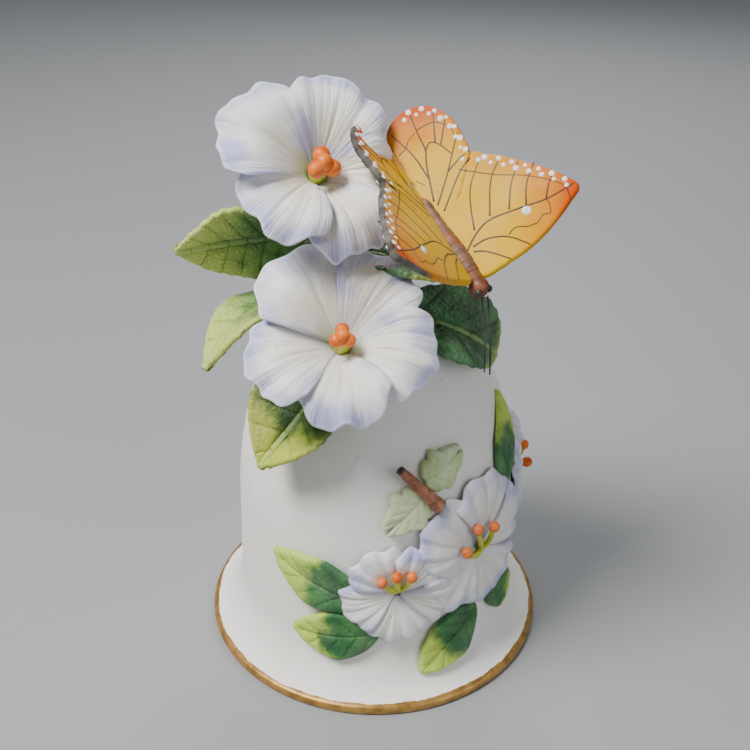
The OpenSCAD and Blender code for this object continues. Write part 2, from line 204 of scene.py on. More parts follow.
def sheet_mesh(name, sheet, half, uv, masks=None, wraps=False, closed_start=False):
    """A closed mesh of a sheet. Where half is zero the two faces share their points."""
    rows, cols = sheet.shape[:2]
    normal = sheet_normals(sheet, wraps)
    top = sheet + normal * half[..., None]
    bottom = sheet - normal * half[..., None]
    count = rows * cols
    shared = (half <= 1e-6).ravel()
    bottom_index = np.where(shared, np.arange(count), 0)
    own = np.flatnonzero(~shared)
    bottom_index[own] = count + np.arange(len(own))
    points = np.vstack([top.reshape(-1, 3), bottom.reshape(-1, 3)[own]]) * MM

    def cell(i, j):
        return i * cols + j % cols

    last = cols if wraps else cols - 1
    i, j = np.meshgrid(np.arange(rows - 1), np.arange(last), indexing="ij")
    quad = np.stack([cell(i, j), cell(i + 1, j), cell(i + 1, j + 1), cell(i, j + 1)], axis=-1).reshape(-1, 4)
    faces = [quad, bottom_index[quad][:, ::-1]]
    if closed_start:
        j = np.arange(last)
        first = np.stack(
            [cell(0, j + 1), bottom_index[cell(0, j + 1)], bottom_index[cell(0, j)], cell(0, j)], axis=-1)
        faces.append(first)
    faces = np.vstack(faces)
    mesh = bpy.data.meshes.new(name)
    mesh.from_pydata(points.tolist(), [], faces.tolist())
    uv_flat = uv.reshape(-1, 2)
    uv_all = np.vstack([uv_flat, uv_flat[own]])
    layer = mesh.uv_layers.new(name="sheet")
    loops = np.empty(len(mesh.loops), np.int32)
    mesh.loops.foreach_get("vertex_index", loops)
    layer.data.foreach_set("uv", uv_all[loops].astype(np.float32).ravel())
    for mask_name, values in (masks or {}).items():
        flat = values.ravel()
        attribute = mesh.attributes.new(mask_name, "FLOAT", "POINT")
        attribute.data.foreach_set("value", np.concatenate([flat, flat[own]]).astype(np.float32))
    mesh.validate()
    mesh.shade_smooth()
    piece = bpy.data.objects.new(name, mesh)
    bpy.context.scene.collection.objects.link(piece)
    return piece


def fit_out(piece, body, slot, material, *stands_for):
    """Gives a piece its body, its finish and the nodes that it stands for. The slot argument is not used."""
    piece.data.materials.clear()
    piece.data.materials.append(material)
    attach(piece, body)
    if stands_for:
        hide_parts(*stands_for)
    return piece


print("helpers ready")

# %% Tube and ring helpers
def ring_mesh(name, rings, uv_scale=1.0, masks=None):
    """A closed mesh through a stack of rings of points, with a fan at each end."""
    rows, cols = rings.shape[:2]
    points = np.vstack([rings.reshape(-1, 3), rings[0].mean(axis=0), rings[-1].mean(axis=0)]) * MM
    i, j = np.meshgrid(np.arange(rows - 1), np.arange(cols), indexing="ij")
    right = (j + 1) % cols
    quads = np.stack([i * cols + j, i * cols + right, (i + 1) * cols + right, (i + 1) * cols + j], axis=-1)
    faces = quads.reshape(-1, 4).tolist()
    last = (rows - 1) * cols
    faces += [(rows * cols, (k + 1) % cols, k) for k in range(cols)]
    faces += [(rows * cols + 1, last + k, last + (k + 1) % cols) for k in range(cols)]
    mesh = bpy.data.meshes.new(name)
    mesh.from_pydata(points.tolist(), [], faces)
    step = np.linalg.norm(np.diff(rings.mean(axis=1), axis=0), axis=1)
    if step.sum() < 1e-6:
        step = np.linalg.norm(np.diff(rings[:, 0], axis=0), axis=1)
    along = np.concatenate([[0], np.cumsum(step)])
    v = np.repeat(along, cols) * uv_scale
    u = np.tile(np.abs(np.linspace(-1, 1, cols, endpoint=False)), rows) * uv_scale
    uv = np.column_stack([np.append(u, [0, 0]), np.append(v, [v[0], v[-1]])])
    layer = mesh.uv_layers.new(name="sheet")
    loops = np.empty(len(mesh.loops), np.int32)
    mesh.loops.foreach_get("vertex_index", loops)
    layer.data.foreach_set("uv", uv[loops].astype(np.float32).ravel())
    for mask_name, values in (masks or {}).items():
        attribute = mesh.attributes.new(mask_name, "FLOAT", "POINT")
        flat = np.append(values.ravel(), [values[0].mean(), values[-1].mean()])
        attribute.data.foreach_set("value", flat.astype(np.float32))
    mesh.validate()
    mesh.shade_smooth()
    piece = bpy.data.objects.new(name, mesh)
    bpy.context.scene.collection.objects.link(piece)
    return piece


def crosswise(axis):
    """Two directions at right angles to an axis."""
    side = unit(np.cross(axis, (0, 0, 1) if abs(axis[2]) < 0.9 else (1, 0, 0)))
    return side, np.cross(axis, side)


def turned(name, start, axis, along, radius, cols=48, ripple=None, masks=None):
    """A turned solid: its radius at each distance from the start along the axis."""
    side, up = crosswise(axis)
    angle = np.linspace(0, 2 * math.pi, cols, endpoint=False)
    circle = np.outer(np.cos(angle), side) + np.outer(np.sin(angle), up)
    reach = np.asarray(radius)[:, None] * np.ones(cols)
    if ripple is not None:
        reach = reach * ripple(np.asarray(along)[:, None], angle[None, :])
    rings = start + np.asarray(along)[:, None, None] * axis + reach[..., None] * circle
    return ring_mesh(name, rings, masks=masks)


def swept(name, path, radius, cols=24, flat=1.0, top=None):
    """A round or flattened rod along a path. top gives the direction of its flatter side."""
    path = np.asarray(path, float)
    tangent = np.gradient(path, axis=0)
    tangent /= np.linalg.norm(tangent, axis=1, keepdims=True)
    guide = np.asarray(top if top is not None else crosswise(tangent[0])[1], float)
    guide = guide * np.ones_like(path)
    across = np.cross(tangent, guide)
    across /= np.linalg.norm(across, axis=1, keepdims=True)
    up = np.cross(across, tangent)
    angle = np.linspace(0, 2 * math.pi, cols, endpoint=False)
    circle = (np.cos(angle)[None, :, None] * across[:, None]
              + flat * np.sin(angle)[None, :, None] * up[:, None])
    return ring_mesh(name, path[:, None] + np.asarray(radius)[:, None, None] * circle)


def ball(name, centre, radius, cols=40, lumps=0.0, seed=0.0):
    """A sphere, made slightly lumpy by hand."""
    turn = np.linspace(0.03, math.pi - 0.03, cols // 2)
    lumpy = (lambda a, b: 1 + lumps * np.sin(2 * b + seed) * np.sin(3 * a / radius + seed)) if lumps else None
    return turned(name, np.asarray(centre, float), np.array((0.0, 0.0, 1.0)),
                  -radius * np.cos(turn), radius * np.sin(turn), cols, lumpy)


def curve_through(points, count):
    """A smooth curve that passes through the given points."""
    points = np.asarray(points, float)
    points = np.vstack([2 * points[0] - points[1], points, 2 * points[-1] - points[-2]])
    where = np.linspace(0, len(points) - 3 - 1e-9, count)
    k = where.astype(int)
    u = (where - k)[:, None]
    a, b, c, d = points[k], points[k + 1], points[k + 2], points[k + 3]
    return 0.5 * (2 * b + (c - a) * u + (2 * a - 5 * b + 4 * c - d) * u**2 + (3 * b - a - 3 * c + d) * u**3)


def merged(name, parts):
    """Several pieces as one mesh object. Their materials are kept."""
    with bpy.context.temp_override(active_object=parts[0], object=parts[0], selected_objects=parts,
                                   selected_editable_objects=parts):
        bpy.ops.object.join()
    parts[0].name = name
    parts[0].data.name = name
    return parts[0]


print("tube helpers ready")

# %% [markdown]
# ## Finishes
#
# Every finish is a Principled shader whose roughness and sheen are plain values, with colour and
# relief from procedural textures. Three effects are shared: the fine grain of unglazed porcelain with
# its dust specks, the brush marks of hand-laid colour, and the sharp cells between the veins of a
# leaf. Each is a node group with named inputs, placed with its own values in every material that
# uses it.


# %% Material helpers
def connect(tree, socket, value):
    """Sets a socket to a value, or links it when the value is another socket."""
    if isinstance(value, bpy.types.NodeSocket):
        tree.links.new(value, socket)
    else:
        socket.default_value = value


def add(tree, kind, inputs=None, **settings):
    """A shader node with its settings and inputs."""
    made = tree.nodes.new(kind)
    for key, value in settings.items():
        setattr(made, key, value)
    for key, value in (inputs or {}).items():
        connect(tree, made.inputs[key], value)
    return made


def mix(tree, factor, first, second, blend="MIX"):
    made = add(tree, "ShaderNodeMix", {0: factor, 6: first, 7: second}, data_type="RGBA", blend_type=blend)
    return made.outputs[2]


def maths(tree, operation, first, second=0.0):
    return add(tree, "ShaderNodeMath", {0: first, 1: second}, operation=operation).outputs[0]


def fade(tree, value, low, high, start=0.0, end=1.0):
    """A smooth step of a value from low to high."""
    inputs = {"Value": value, "From Min": low, "From Max": high, "To Min": start, "To Max": end}
    return add(tree, "ShaderNodeMapRange", inputs, interpolation_type="SMOOTHSTEP").outputs["Result"]


def noise(tree, vector, scale, detail=3.0, rough=0.55, warp=0.0):
    inputs = {"Vector": vector, "Scale": scale, "Detail": detail, "Roughness": rough, "Distortion": warp}
    return add(tree, "ShaderNodeTexNoise", inputs).outputs["Fac"]


def mask(tree, name):
    return add(tree, "ShaderNodeAttribute", attribute_name=name).outputs["Fac"]


def solid_place(tree):
    return add(tree, "ShaderNodeTexCoord").outputs["Object"]


def sheet_place(tree):
    return add(tree, "ShaderNodeUVMap", uv_map="sheet").outputs["UV"]


def new_material(name, roughness=0.6, **sockets):
    material = bpy.data.materials.new(name)
    material.use_nodes = True
    shader = material.node_tree.nodes["Principled BSDF"]
    shader.inputs["Roughness"].default_value = roughness
    for socket, value in sockets.items():
        shader.inputs[socket.replace("_", " ")].default_value = value
    return material, material.node_tree, shader


def new_group(name, inputs, outputs):
    """A node group with named inputs and outputs. Returns the group, its input and its output node."""
    group = bpy.data.node_groups.new(name, "ShaderNodeTree")
    for socket, (kind, value) in inputs.items():
        made = group.interface.new_socket(socket, in_out="INPUT", socket_type=kind)
        made.default_value = value
    for socket, kind in outputs.items():
        group.interface.new_socket(socket, in_out="OUTPUT", socket_type=kind)
    return group, group.nodes.new("NodeGroupInput"), group.nodes.new("NodeGroupOutput")


def colour(code):
    """A colour written as six hex digits, as linear light."""
    parts = [int(code[k : k + 2], 16) / 255 for k in (0, 2, 4)]
    return (*[c / 12.92 if c <= 0.04045 else ((c + 0.055) / 1.055) ** 2.4 for c in parts], 1.0)


print("material helpers ready")

# %% Shared surface effects
clay, come, go = new_group(
    "unglazed_clay",
    {"Grain": ("NodeSocketFloat", 6000.0), "Specks": ("NodeSocketFloat", 0.5)},
    {"Mottle": "NodeSocketFloat", "Speck": "NodeSocketFloat", "Height": "NodeSocketFloat"},
)
place = solid_place(clay)
fine_grain = noise(clay, place, come.outputs["Grain"], 3.0)
broad = noise(clay, place, 110.0, 4.0)
dots = add(clay, "ShaderNodeTexVoronoi", {"Vector": place, "Scale": 560.0, "Randomness": 1.0})
near = fade(clay, dots.outputs["Distance"], 0.07, 0.14, 1.0, 0.0)
few = add(clay, "ShaderNodeSeparateColor", {"Color": dots.outputs["Color"]}).outputs[0]
few = fade(clay, few, 0.955, 0.97)
speck = maths(clay, "MULTIPLY", maths(clay, "MULTIPLY", near, few), come.outputs["Specks"])
clay.links.new(broad, go.inputs["Mottle"])
clay.links.new(speck, go.inputs["Speck"])
clay.links.new(maths(clay, "ADD", maths(clay, "MULTIPLY", fine_grain, 0.6), broad), go.inputs["Height"])

brush, come, go = new_group(
    "brush_marks",
    {"Along": ("NodeSocketFloat", 0.25), "Across": ("NodeSocketFloat", 3.0)},
    {"Streak": "NodeSocketFloat", "Patch": "NodeSocketFloat"},
)
split = add(brush, "ShaderNodeSeparateXYZ", {0: sheet_place(brush)})
stretched = add(brush, "ShaderNodeCombineXYZ", {
    0: maths(brush, "MULTIPLY", split.outputs[0], come.outputs["Across"]),
    1: maths(brush, "MULTIPLY", split.outputs[1], come.outputs["Along"])}).outputs[0]
brush.links.new(noise(brush, stretched, 1.0, 4.0, 0.6, 0.3), go.inputs["Streak"])
brush.links.new(noise(brush, solid_place(brush), 120.0, 2.0, 0.5), go.inputs["Patch"])

cells, come, go = new_group(
    "vein_cells",
    {"Size": ("NodeSocketFloat", 0.55)},
    {"Net": "NodeSocketFloat", "Pillow": "NodeSocketFloat"},
)
wander = add(cells, "ShaderNodeTexNoise", {"Vector": sheet_place(cells), "Scale": 0.5, "Detail": 2.0})
nudge = add(cells, "ShaderNodeVectorMath", {0: wander.outputs["Color"], 1: (0.9, 0.9, 0.9)},
            operation="MULTIPLY")
moved = add(cells, "ShaderNodeVectorMath", {0: sheet_place(cells), 1: nudge.outputs[0]}, operation="ADD")
edge = add(cells, "ShaderNodeTexVoronoi", {"Vector": moved.outputs[0], "Scale": come.outputs["Size"]},
           feature="DISTANCE_TO_EDGE")
# Net marks the cell edges, which the leaf paint darkens as painted shade in the grooves between the raised
# cells.
cells.links.new(fade(cells, edge.outputs["Distance"], 0.0, 0.13, 1.0, 0.0), go.inputs["Net"])
cells.links.new(fade(cells, edge.outputs["Distance"], 0.0, 0.45), go.inputs["Pillow"])
print("shared effects:", clay.name, brush.name, cells.name)


# %% Materials of the body and the metal
def use(tree, group, **values):
    """Places a shared effect in a material with its own values."""
    made = tree.nodes.new("ShaderNodeGroup")
    made.node_tree = group
    for key, value in values.items():
        made.inputs[key].default_value = value
    return made


def finish_clay(tree, shader, base, relief, depth=0.00012, specks=0.5, extra=None, grain=6000.0):
    """Adds clay mottling, specks and grain to a base colour and ends in the shader."""
    surface = use(tree, clay, Grain=grain, Specks=specks)
    toned = mix(tree, fade(tree, surface.outputs["Mottle"], 0.35, 0.70, 0.0, 0.10), base, colour("CFC8BA"))
    spotted = mix(tree, surface.outputs["Speck"], toned, colour("6E6150"))
    tree.links.new(spotted, shader.inputs["Base Color"])
    height = surface.outputs["Height"]
    if extra is not None:
        height = maths(tree, "ADD", height, extra)
    bump = add(tree, "ShaderNodeBump", {"Height": height, "Strength": relief, "Distance": depth})
    tree.links.new(bump.outputs["Normal"], shader.inputs["Normal"])


soft_skin = dict(Subsurface_Weight=0.12, Subsurface_Radius=(0.0015, 0.0012, 0.0010), Subsurface_Scale=1.0)
bisque, tree, shader = new_material("bisque", 0.62, Specular_IOR_Level=0.35, **soft_skin)
finish_clay(tree, shader, colour("EFECE6"), 0.35, specks=0.35)

bisque_gilt, tree, shader = new_material("bisque_gilt", 0.60, Specular_IOR_Level=0.4, **soft_skin)
rag = noise(tree, solid_place(tree), 260.0, 4.0, 0.65)
gilt = maths(tree, "ADD", mask(tree, "gilt"),
             maths(tree, "MULTIPLY", maths(tree, "SUBTRACT", rag, 0.5), 1.1))
gilt = fade(tree, gilt, 0.44, 0.54)
finish_clay(tree, shader, colour("EFECE6"), 0.35, specks=0.45)
body_colour = shader.inputs["Base Color"].links[0].from_socket
gold = mix(tree, fade(tree, noise(tree, solid_place(tree), 420.0, 4.0), 0.35, 0.7),
           colour("B98E4C"), colour("8C6A36"))
tree.links.new(mix(tree, gilt, body_colour, gold), shader.inputs["Base Color"])
tree.links.new(maths(tree, "MULTIPLY", gilt, 0.55), shader.inputs["Metallic"])
tree.links.new(fade(tree, gilt, 0.0, 1.0, 0.62, 0.40), shader.inputs["Roughness"])

brass, tree, shader = new_material("brass", 0.32, Metallic=1.0)
tarnish = fade(tree, noise(tree, solid_place(tree), 700.0, 4.0), 0.4, 0.7)
tree.links.new(mix(tree, tarnish, colour("D2A95A"), colour("8F6E35")), shader.inputs["Base Color"])
tree.links.new(fade(tree, tarnish, 0.0, 1.0, 0.28, 0.45), shader.inputs["Roughness"])
print("body finishes ready")


# %% Materials of the painted pieces
def painted(name, base, dark, roughness=0.5, speck=0.4, size=240.0, relief=0.4):
    """A hand painted colour that pools darker in places."""
    material, tree, shader = new_material(name, roughness, Specular_IOR_Level=0.4)
    pool = fade(tree, noise(tree, solid_place(tree), size, 3.0), 0.35, 0.68)
    finish_clay(tree, shader, mix(tree, pool, colour(base), colour(dark)), relief, specks=speck)
    return material


stem_green = painted("stem_green", "6F8A45", "3E5C2C", 0.55)
pistil_paint = painted("pistil_paint", "BBC81A", "86A010", 0.5, 0.2)
anther_paint = painted("anther_paint", "E87400", "C24A00", 0.42, 0.2, 500.0)
stamen_yellow = painted("stamen_yellow", "C9CC10", "98A30C", 0.45, 0.1)
pale_green = painted("pale_green", "CBD9AB", "AFC48A", 0.55, 0.2, 160.0)
insect_body = painted("insect_body", "7E4524", "4A2611", 0.5, 0.3, 420.0, 0.6)
insect_head = painted("insect_head", "80401F", "542611", 0.45, 0.2, 420.0)
ink = painted("ink", "1E1814", "120E0C", 0.4, 0.0)
vein_ink = painted("vein_ink", "4A2D0C", "33200A", 0.5, 0.0, 600.0)
dot_white = painted("dot_white", "F6F2EC", "E4DED2", 0.5, 0.0, 900.0)
wire_black = painted("wire_black", "23262A", "15171A", 0.35, 0.0)


def petal_paint(name, blush_from, blush_to, streaks=0.5, crease_shade_strength=0.9):
    """Cream at the throat, a patchy lavender blue toward the margin, fine ridges along the petal."""
    material, tree, shader = new_material(name, 0.6, Specular_IOR_Level=0.35, **soft_skin)
    marks = use(tree, brush, Along=0.10, Across=2.6)
    reach = maths(tree, "ADD", mask(tree, "margin"),
                  maths(tree, "MULTIPLY", maths(tree, "SUBTRACT", marks.outputs["Patch"], 0.5), 1.35))
    reach = maths(tree, "ADD", reach,
                  maths(tree, "MULTIPLY", maths(tree, "SUBTRACT", marks.outputs["Streak"], 0.5), streaks))
    blush = fade(tree, reach, blush_from, blush_to)
    cream = mix(tree, fade(tree, mask(tree, "margin"), 0.0, 0.55), colour("EFE9D6"), colour("EFEDEA"))
    tint = mix(tree, blush, cream, colour("B4B7E0"))
    lip = fade(tree, mask(tree, "margin"), 0.90, 0.98)
    tint = mix(tree, maths(tree, "MULTIPLY", lip, 0.6), tint, colour("F1F0F4"))
    # Painted shade: the crease mask turns the tint grey brown in the middle crease, along the sides where the
    # petals lap, and at the throat.
    crease_shade = maths(tree, "MULTIPLY", mask(tree, "crease"), crease_shade_strength)
    tint = mix(tree, crease_shade, tint, colour("8F8678"))
    ridges = fade(tree, marks.outputs["Streak"], 0.3, 0.7, 0.0, 1.5)
    finish_clay(tree, shader, tint, 0.45, 0.00020, specks=0.8, extra=ridges)
    return material


petal_finish = petal_paint("petal_finish", 0.52, 1.05)
relief_petal_finish = petal_paint("relief_petal_finish", 0.50, 1.15, 0.3, 0.6)


def leaf_paint(name, tip_from, tip_to, dark="2F5A33", mid="4E7F42", light="C4D45A", net=1.0):
    """Deep green with paler raised cells, turning yellow green toward the tip and the margin."""
    material, tree, shader = new_material(name, 0.52, Specular_IOR_Level=0.4)
    net_marks = use(tree, cells, Size=0.95)
    tone = noise(tree, solid_place(tree), 190.0, 4.0, 0.6)
    green = mix(tree, fade(tree, tone, 0.35, 0.65), colour(dark), colour(mid))
    reach = maths(tree, "ADD", mask(tree, "tip"),
                  maths(tree, "MULTIPLY", maths(tree, "SUBTRACT", tone, 0.5), 0.55))
    green = mix(tree, fade(tree, reach, tip_from, tip_to), green, colour(light))
    # Painted shade: the edges of the cells and the pressed veins are darkened toward deep green, as the shade
    # that falls in their grooves.
    line = maths(tree, "MAXIMUM", maths(tree, "MULTIPLY", net_marks.outputs["Net"], 0.35 * net),
                 mask(tree, "vein"))
    green = mix(tree, maths(tree, "MULTIPLY", line, 0.62), green, colour("1B3A1C"))
    green = mix(tree, maths(tree, "MULTIPLY", mask(tree, "midrib"), 0.55), green, colour("9DBB6E"))
    finish_clay(tree, shader, green, 0.75, 0.00032, specks=0.3,
                extra=maths(tree, "MULTIPLY", net_marks.outputs["Pillow"], 1.0 * net))
    return material


leaf_light = leaf_paint("leaf_light", 0.30, 0.85, "3F6B38", "6C9A4C", "C9D86A")
# A darker copy of the leaf paint: partly the darker green of these leaves, partly painted shade for the
# leaves that sit in shade under the flowers and the butterfly.
leaf_dark_and_shaded = leaf_paint("leaf_dark_and_shaded", 0.75, 1.15, "2A5230", "4C8550")
leaf_low = leaf_paint("leaf_low", 0.45, 0.80, "2A4A24", "567A35", "B4BE45", 0.45)
relief_leaf_finish = leaf_paint("relief_leaf_finish", 0.52, 0.74, "1F5A30", "3E7F3C", "BCD652", 0.35)


def wing_paint(name, inner, middle, outer):
    """Bright yellow by the body, deepening to orange toward the outer margin, with a dark edge."""
    material, tree, shader = new_material(name, 0.55, Specular_IOR_Level=0.12)
    marks = use(tree, brush, Along=0.35, Across=0.35)
    reach = maths(tree, "ADD", mask(tree, "outer"),
                  maths(tree, "MULTIPLY", maths(tree, "SUBTRACT", marks.outputs["Patch"], 0.5), 0.35))
    base = mix(tree, fade(tree, reach, 0.44, 0.84), colour(inner), colour(middle))
    base = mix(tree, fade(tree, reach, 0.80, 1.04), base, colour(outer))
    grey = mix(tree, fade(tree, marks.outputs["Streak"], 0.3, 0.7), colour("2B2622"), colour("6F6A66"))
    base = mix(tree, fade(tree, mask(tree, "rim"), 0.35, 0.65), base, grey)
    finish_clay(tree, shader, base, 0.25, specks=0.0)
    return material


wing_finish = wing_paint("wing_finish", "D6A800", "D08200", "C24A00")
print("painted finishes ready")

# %% [markdown]
# ## The bell's wall
#
# The wall is turned from the design's own profile, read off the frame as the chain of edges that lies
# in one half plane through the axis. Between the design's points the curve is filled in smoothly,
# except at the sharp corners of the foot, which are only eased a little as clay is under a sponge. The
# gold line on the foot is paint, so it is a mask on the mesh and not a piece of its own.


# %% Bell wall
def meridian(name):
    """The profile of a turned node: its edges in the half plane y = 0, x > 0, from axis to axis."""
    mesh = nodes[name].data
    flat = np.empty(len(mesh.vertices) * 3)
    mesh.vertices.foreach_get("co", flat)
    where = np.round(flat.reshape(-1, 3) / MM, 3)
    keep = (np.abs(where[:, 1]) < 0.004) & (where[:, 0] > -0.004)
    links = {}
    for edge in mesh.edges:
        a, b = edge.vertices
        if keep[a] and keep[b]:
            p, q = (tuple(where[k][[0, 2]]) for k in (a, b))
            if p != q:
                links.setdefault(p, set()).add(q)
                links.setdefault(q, set()).add(p)
    chain = [max(links, key=lambda p: (p[1], -p[0]))]
    seen = set(chain)
    while ahead := [p for p in links[chain[-1]] if p not in seen]:
        chain.append(min(ahead, key=lambda p: math.dist(p, chain[-1])))
        seen.add(chain[-1])
    return np.array([(0.0, chain[0][1]), *chain, (0.0, chain[-1][1])])


def filled_in(chain, step):
    """Points close together along a chain: curved where it bends gently, straight at its corners."""
    run = np.diff(chain, axis=0)
    length = np.linalg.norm(run, axis=1)
    heading = run / length[:, None]
    bends = np.einsum("ij,ij->i", heading[:-1], heading[1:]) > math.cos(math.radians(20))
    out = []
    for k in range(len(run)):
        before = unit(heading[k - 1] + heading[k]) if k > 0 and bends[k - 1] else heading[k]
        after = unit(heading[k] + heading[k + 1]) if k < len(run) - 1 and bends[k] else heading[k]
        count = max(2, round(length[k] / step))
        u = (np.arange(count) / count)[:, None]
        out.append((2 * u**3 - 3 * u**2 + 1) * chain[k] + (u**3 - 2 * u**2 + u) * before * length[k]
                   + (3 * u**2 - 2 * u**3) * chain[k + 1] + (u**3 - u**2) * after * length[k])
    return np.vstack(out + [chain[-1:]])


def eased(line, width):
    """A line of points with its corners eased over a few neighbours."""
    weights = np.exp(-0.5 * (np.arange(-4, 5) / width) ** 2)
    weights /= weights.sum()
    padded = np.vstack([np.repeat(line[:1], 4, axis=0), line, np.repeat(line[-1:], 4, axis=0)])
    smooth = np.stack([np.convolve(padded[:, k], weights, "valid") for k in (0, 1)], axis=1)
    smooth[0], smooth[-1] = line[0], line[-1]
    return smooth


profile = meridian("bell_shell")
foot_r, crown_h = profile[:, 0].max(), profile[:, 1].max()
line = eased(filled_in(profile, 0.28), 1.6)
line[:, 0] = np.maximum(line[:, 0], 0.02)
line[:, 1] = np.maximum(line[:, 1], 0.0)
outer_end = int(np.argmin(np.where(line[:, 0] > foot_r - 3, line[:, 1], 99)))
height_out = line[: outer_end + 1]
lip_h = profile[(profile[:, 0] > foot_r - 0.7) & (profile[:, 1] > 1.7)][:, 1].min()

around = 300
angle = np.linspace(0, 2 * math.pi, around, endpoint=False)
wander = 0.06 * np.sin(2 * angle + 0.7) + 0.04 * np.sin(3 * angle + 2.0)
grip = np.sin(np.clip(line[:, 1] / crown_h, 0, 1) * math.pi)[:, None]
reach = line[:, :1] + grip * wander * np.minimum(1, line[:, :1] / 10)
rings = np.stack([reach * np.cos(angle), reach * np.sin(angle), line[:, 1:] * np.ones(around)], axis=2)
band = np.clip((line[:, 0] - (foot_r - 1.75)) / 1.2, 0, 1) * (line[:, 1] < lip_h + 0.9)
bell_wall = ring_mesh("bell_wall", rings[::-1], masks={"gilt": (band[:, None] * np.ones(around))[::-1]})
fit_out(bell_wall, "bell", "bisque_shell", bisque_gilt, "bell_shell")


def wall_radius(z):
    """The radius of the outer wall at a height, or at many heights."""
    order = np.argsort(height_out[:, 1])
    return np.interp(z, height_out[order, 1], height_out[order, 0])


print("bell wall:", len(line), "rings of", around, "; foot", round(foot_r * 2, 1), "mm; lip", lip_h)

# %% [markdown]
# ## The clapper
#
# A clay loop inside the crown holds a brass ring. The clapper's wire hangs from it by a closed eye, so
# it can turn and swing, and a porcelain ball is held on the wire by a small end bead. The loop, ring,
# wire and beads are turned or bent afresh from the places that their nodes give.


# %% Clapper
def ring_of(name, thick_cols=28, cols=96):
    """A round ring as its node has it: centre, axis, radius and thickness, bent afresh."""
    points = corners(name)
    centre = (points.min(axis=0) + points.max(axis=0)) / 2
    size = points.max(axis=0) - points.min(axis=0)
    flat = int(np.argmin(size))
    thick = size[flat] / 2
    radius = size.max() / 2 - thick
    turn = np.linspace(0, 2 * math.pi, cols, endpoint=False)
    axes = np.delete(np.eye(3), flat, axis=0)
    out = np.outer(np.cos(turn), axes[0]) + np.outer(np.sin(turn), axes[1])
    small = np.linspace(0, 2 * math.pi, thick_cols, endpoint=False)
    grid = centre + out[:, None] * (radius + thick * np.cos(small))[None, :, None] \
        + np.eye(3)[flat] * (thick * np.sin(small))[None, :, None]
    i, j = np.meshgrid(np.arange(cols), np.arange(thick_cols), indexing="ij")
    at = lambda a, b: (a % cols) * thick_cols + b % thick_cols
    faces = np.stack([at(i, j), at(i, j + 1), at(i + 1, j + 1), at(i + 1, j)], axis=-1).reshape(-1, 4)
    mesh = bpy.data.meshes.new(name)
    mesh.from_pydata((grid.reshape(-1, 3) * MM).tolist(), [], faces.tolist())
    mesh.shade_smooth()
    piece = bpy.data.objects.new(name + "_bent", mesh)
    bpy.context.scene.collection.objects.link(piece)
    return piece


def round_of(name, made, cols=64, lumps=0.0):
    """A sphere at the place and with the size of its node."""
    points = corners(name)
    low, high = points.min(axis=0), points.max(axis=0)
    return ball(made, (low + high) / 2, (high - low).max() / 2, cols, lumps)


fit_out(ring_of("crown_lug"), "bell", "bisque_plain", bisque, "crown_lug")
fit_out(ring_of("hanger_ring"), "bell", "brass_wire", brass, "hanger_ring")
fit_out(round_of("swivel_bead", "wire_eye"), "clapper_swivel", "brass_wire", brass, "swivel_bead")
fit_out(round_of("clapper_ball", "clapper_round", 96), "clapper", "clapper_bisque", bisque, "clapper_ball")
fit_out(round_of("wire_end", "end_bead"), "clapper", "brass_wire", brass, "wire_end")

wire = corners("clapper_wire")
wire_low, wire_high = wire[:, 2].min(), wire[:, 2].max()
wire_r = np.hypot(wire[:, 0], wire[:, 1]).max()
rise = np.linspace(wire_low, wire_high, 40)
hanging = turned("hanging_wire", np.zeros(3), np.array((0.0, 0.0, 1.0)), rise, np.full(40, wire_r), 24)
fit_out(hanging, "clapper", "brass_wire", brass, "clapper_wire")
print("clapper: wire", round(2 * wire_r, 2), "mm")

# %% [markdown]
# ## The two flowers
#
# Each flower has its own frame: the origin at the throat, z along the axis from the calyx to the
# pistil, x level. In this frame a petal's direction, spread and length are read from its node, and
# its cup is a smooth rise that droops again at the rim. On top of this shape come the things that a
# modeller's tool leaves in the clay: a crease down the middle, fine ridges that run out to the rim, a
# ruffled edge, and a lap over the next petal.


# %% Flower frame and petal
class Flower:
    """The frame of a flower, from its calyx and its pistil."""

    def __init__(self, which):
        calyx, pistil = corners(which + "_calyx"), corners(which + "_pistil")
        self.which = which
        self.z = unit(pistil.mean(axis=0) - calyx.mean(axis=0))
        self.x = unit(np.cross((0, 0, 1), self.z))
        self.y = np.cross(self.z, self.x)
        self.axes = np.array((self.x, self.y, self.z))
        middle = pistil.mean(axis=0)
        foot = ((pistil - middle) @ self.z).min()
        self.throat = middle + (foot - 2.0) * self.z

    def inside(self, points):
        return (points - self.throat) @ self.axes.T

    def outside(self, points):
        return self.throat + points @ self.axes


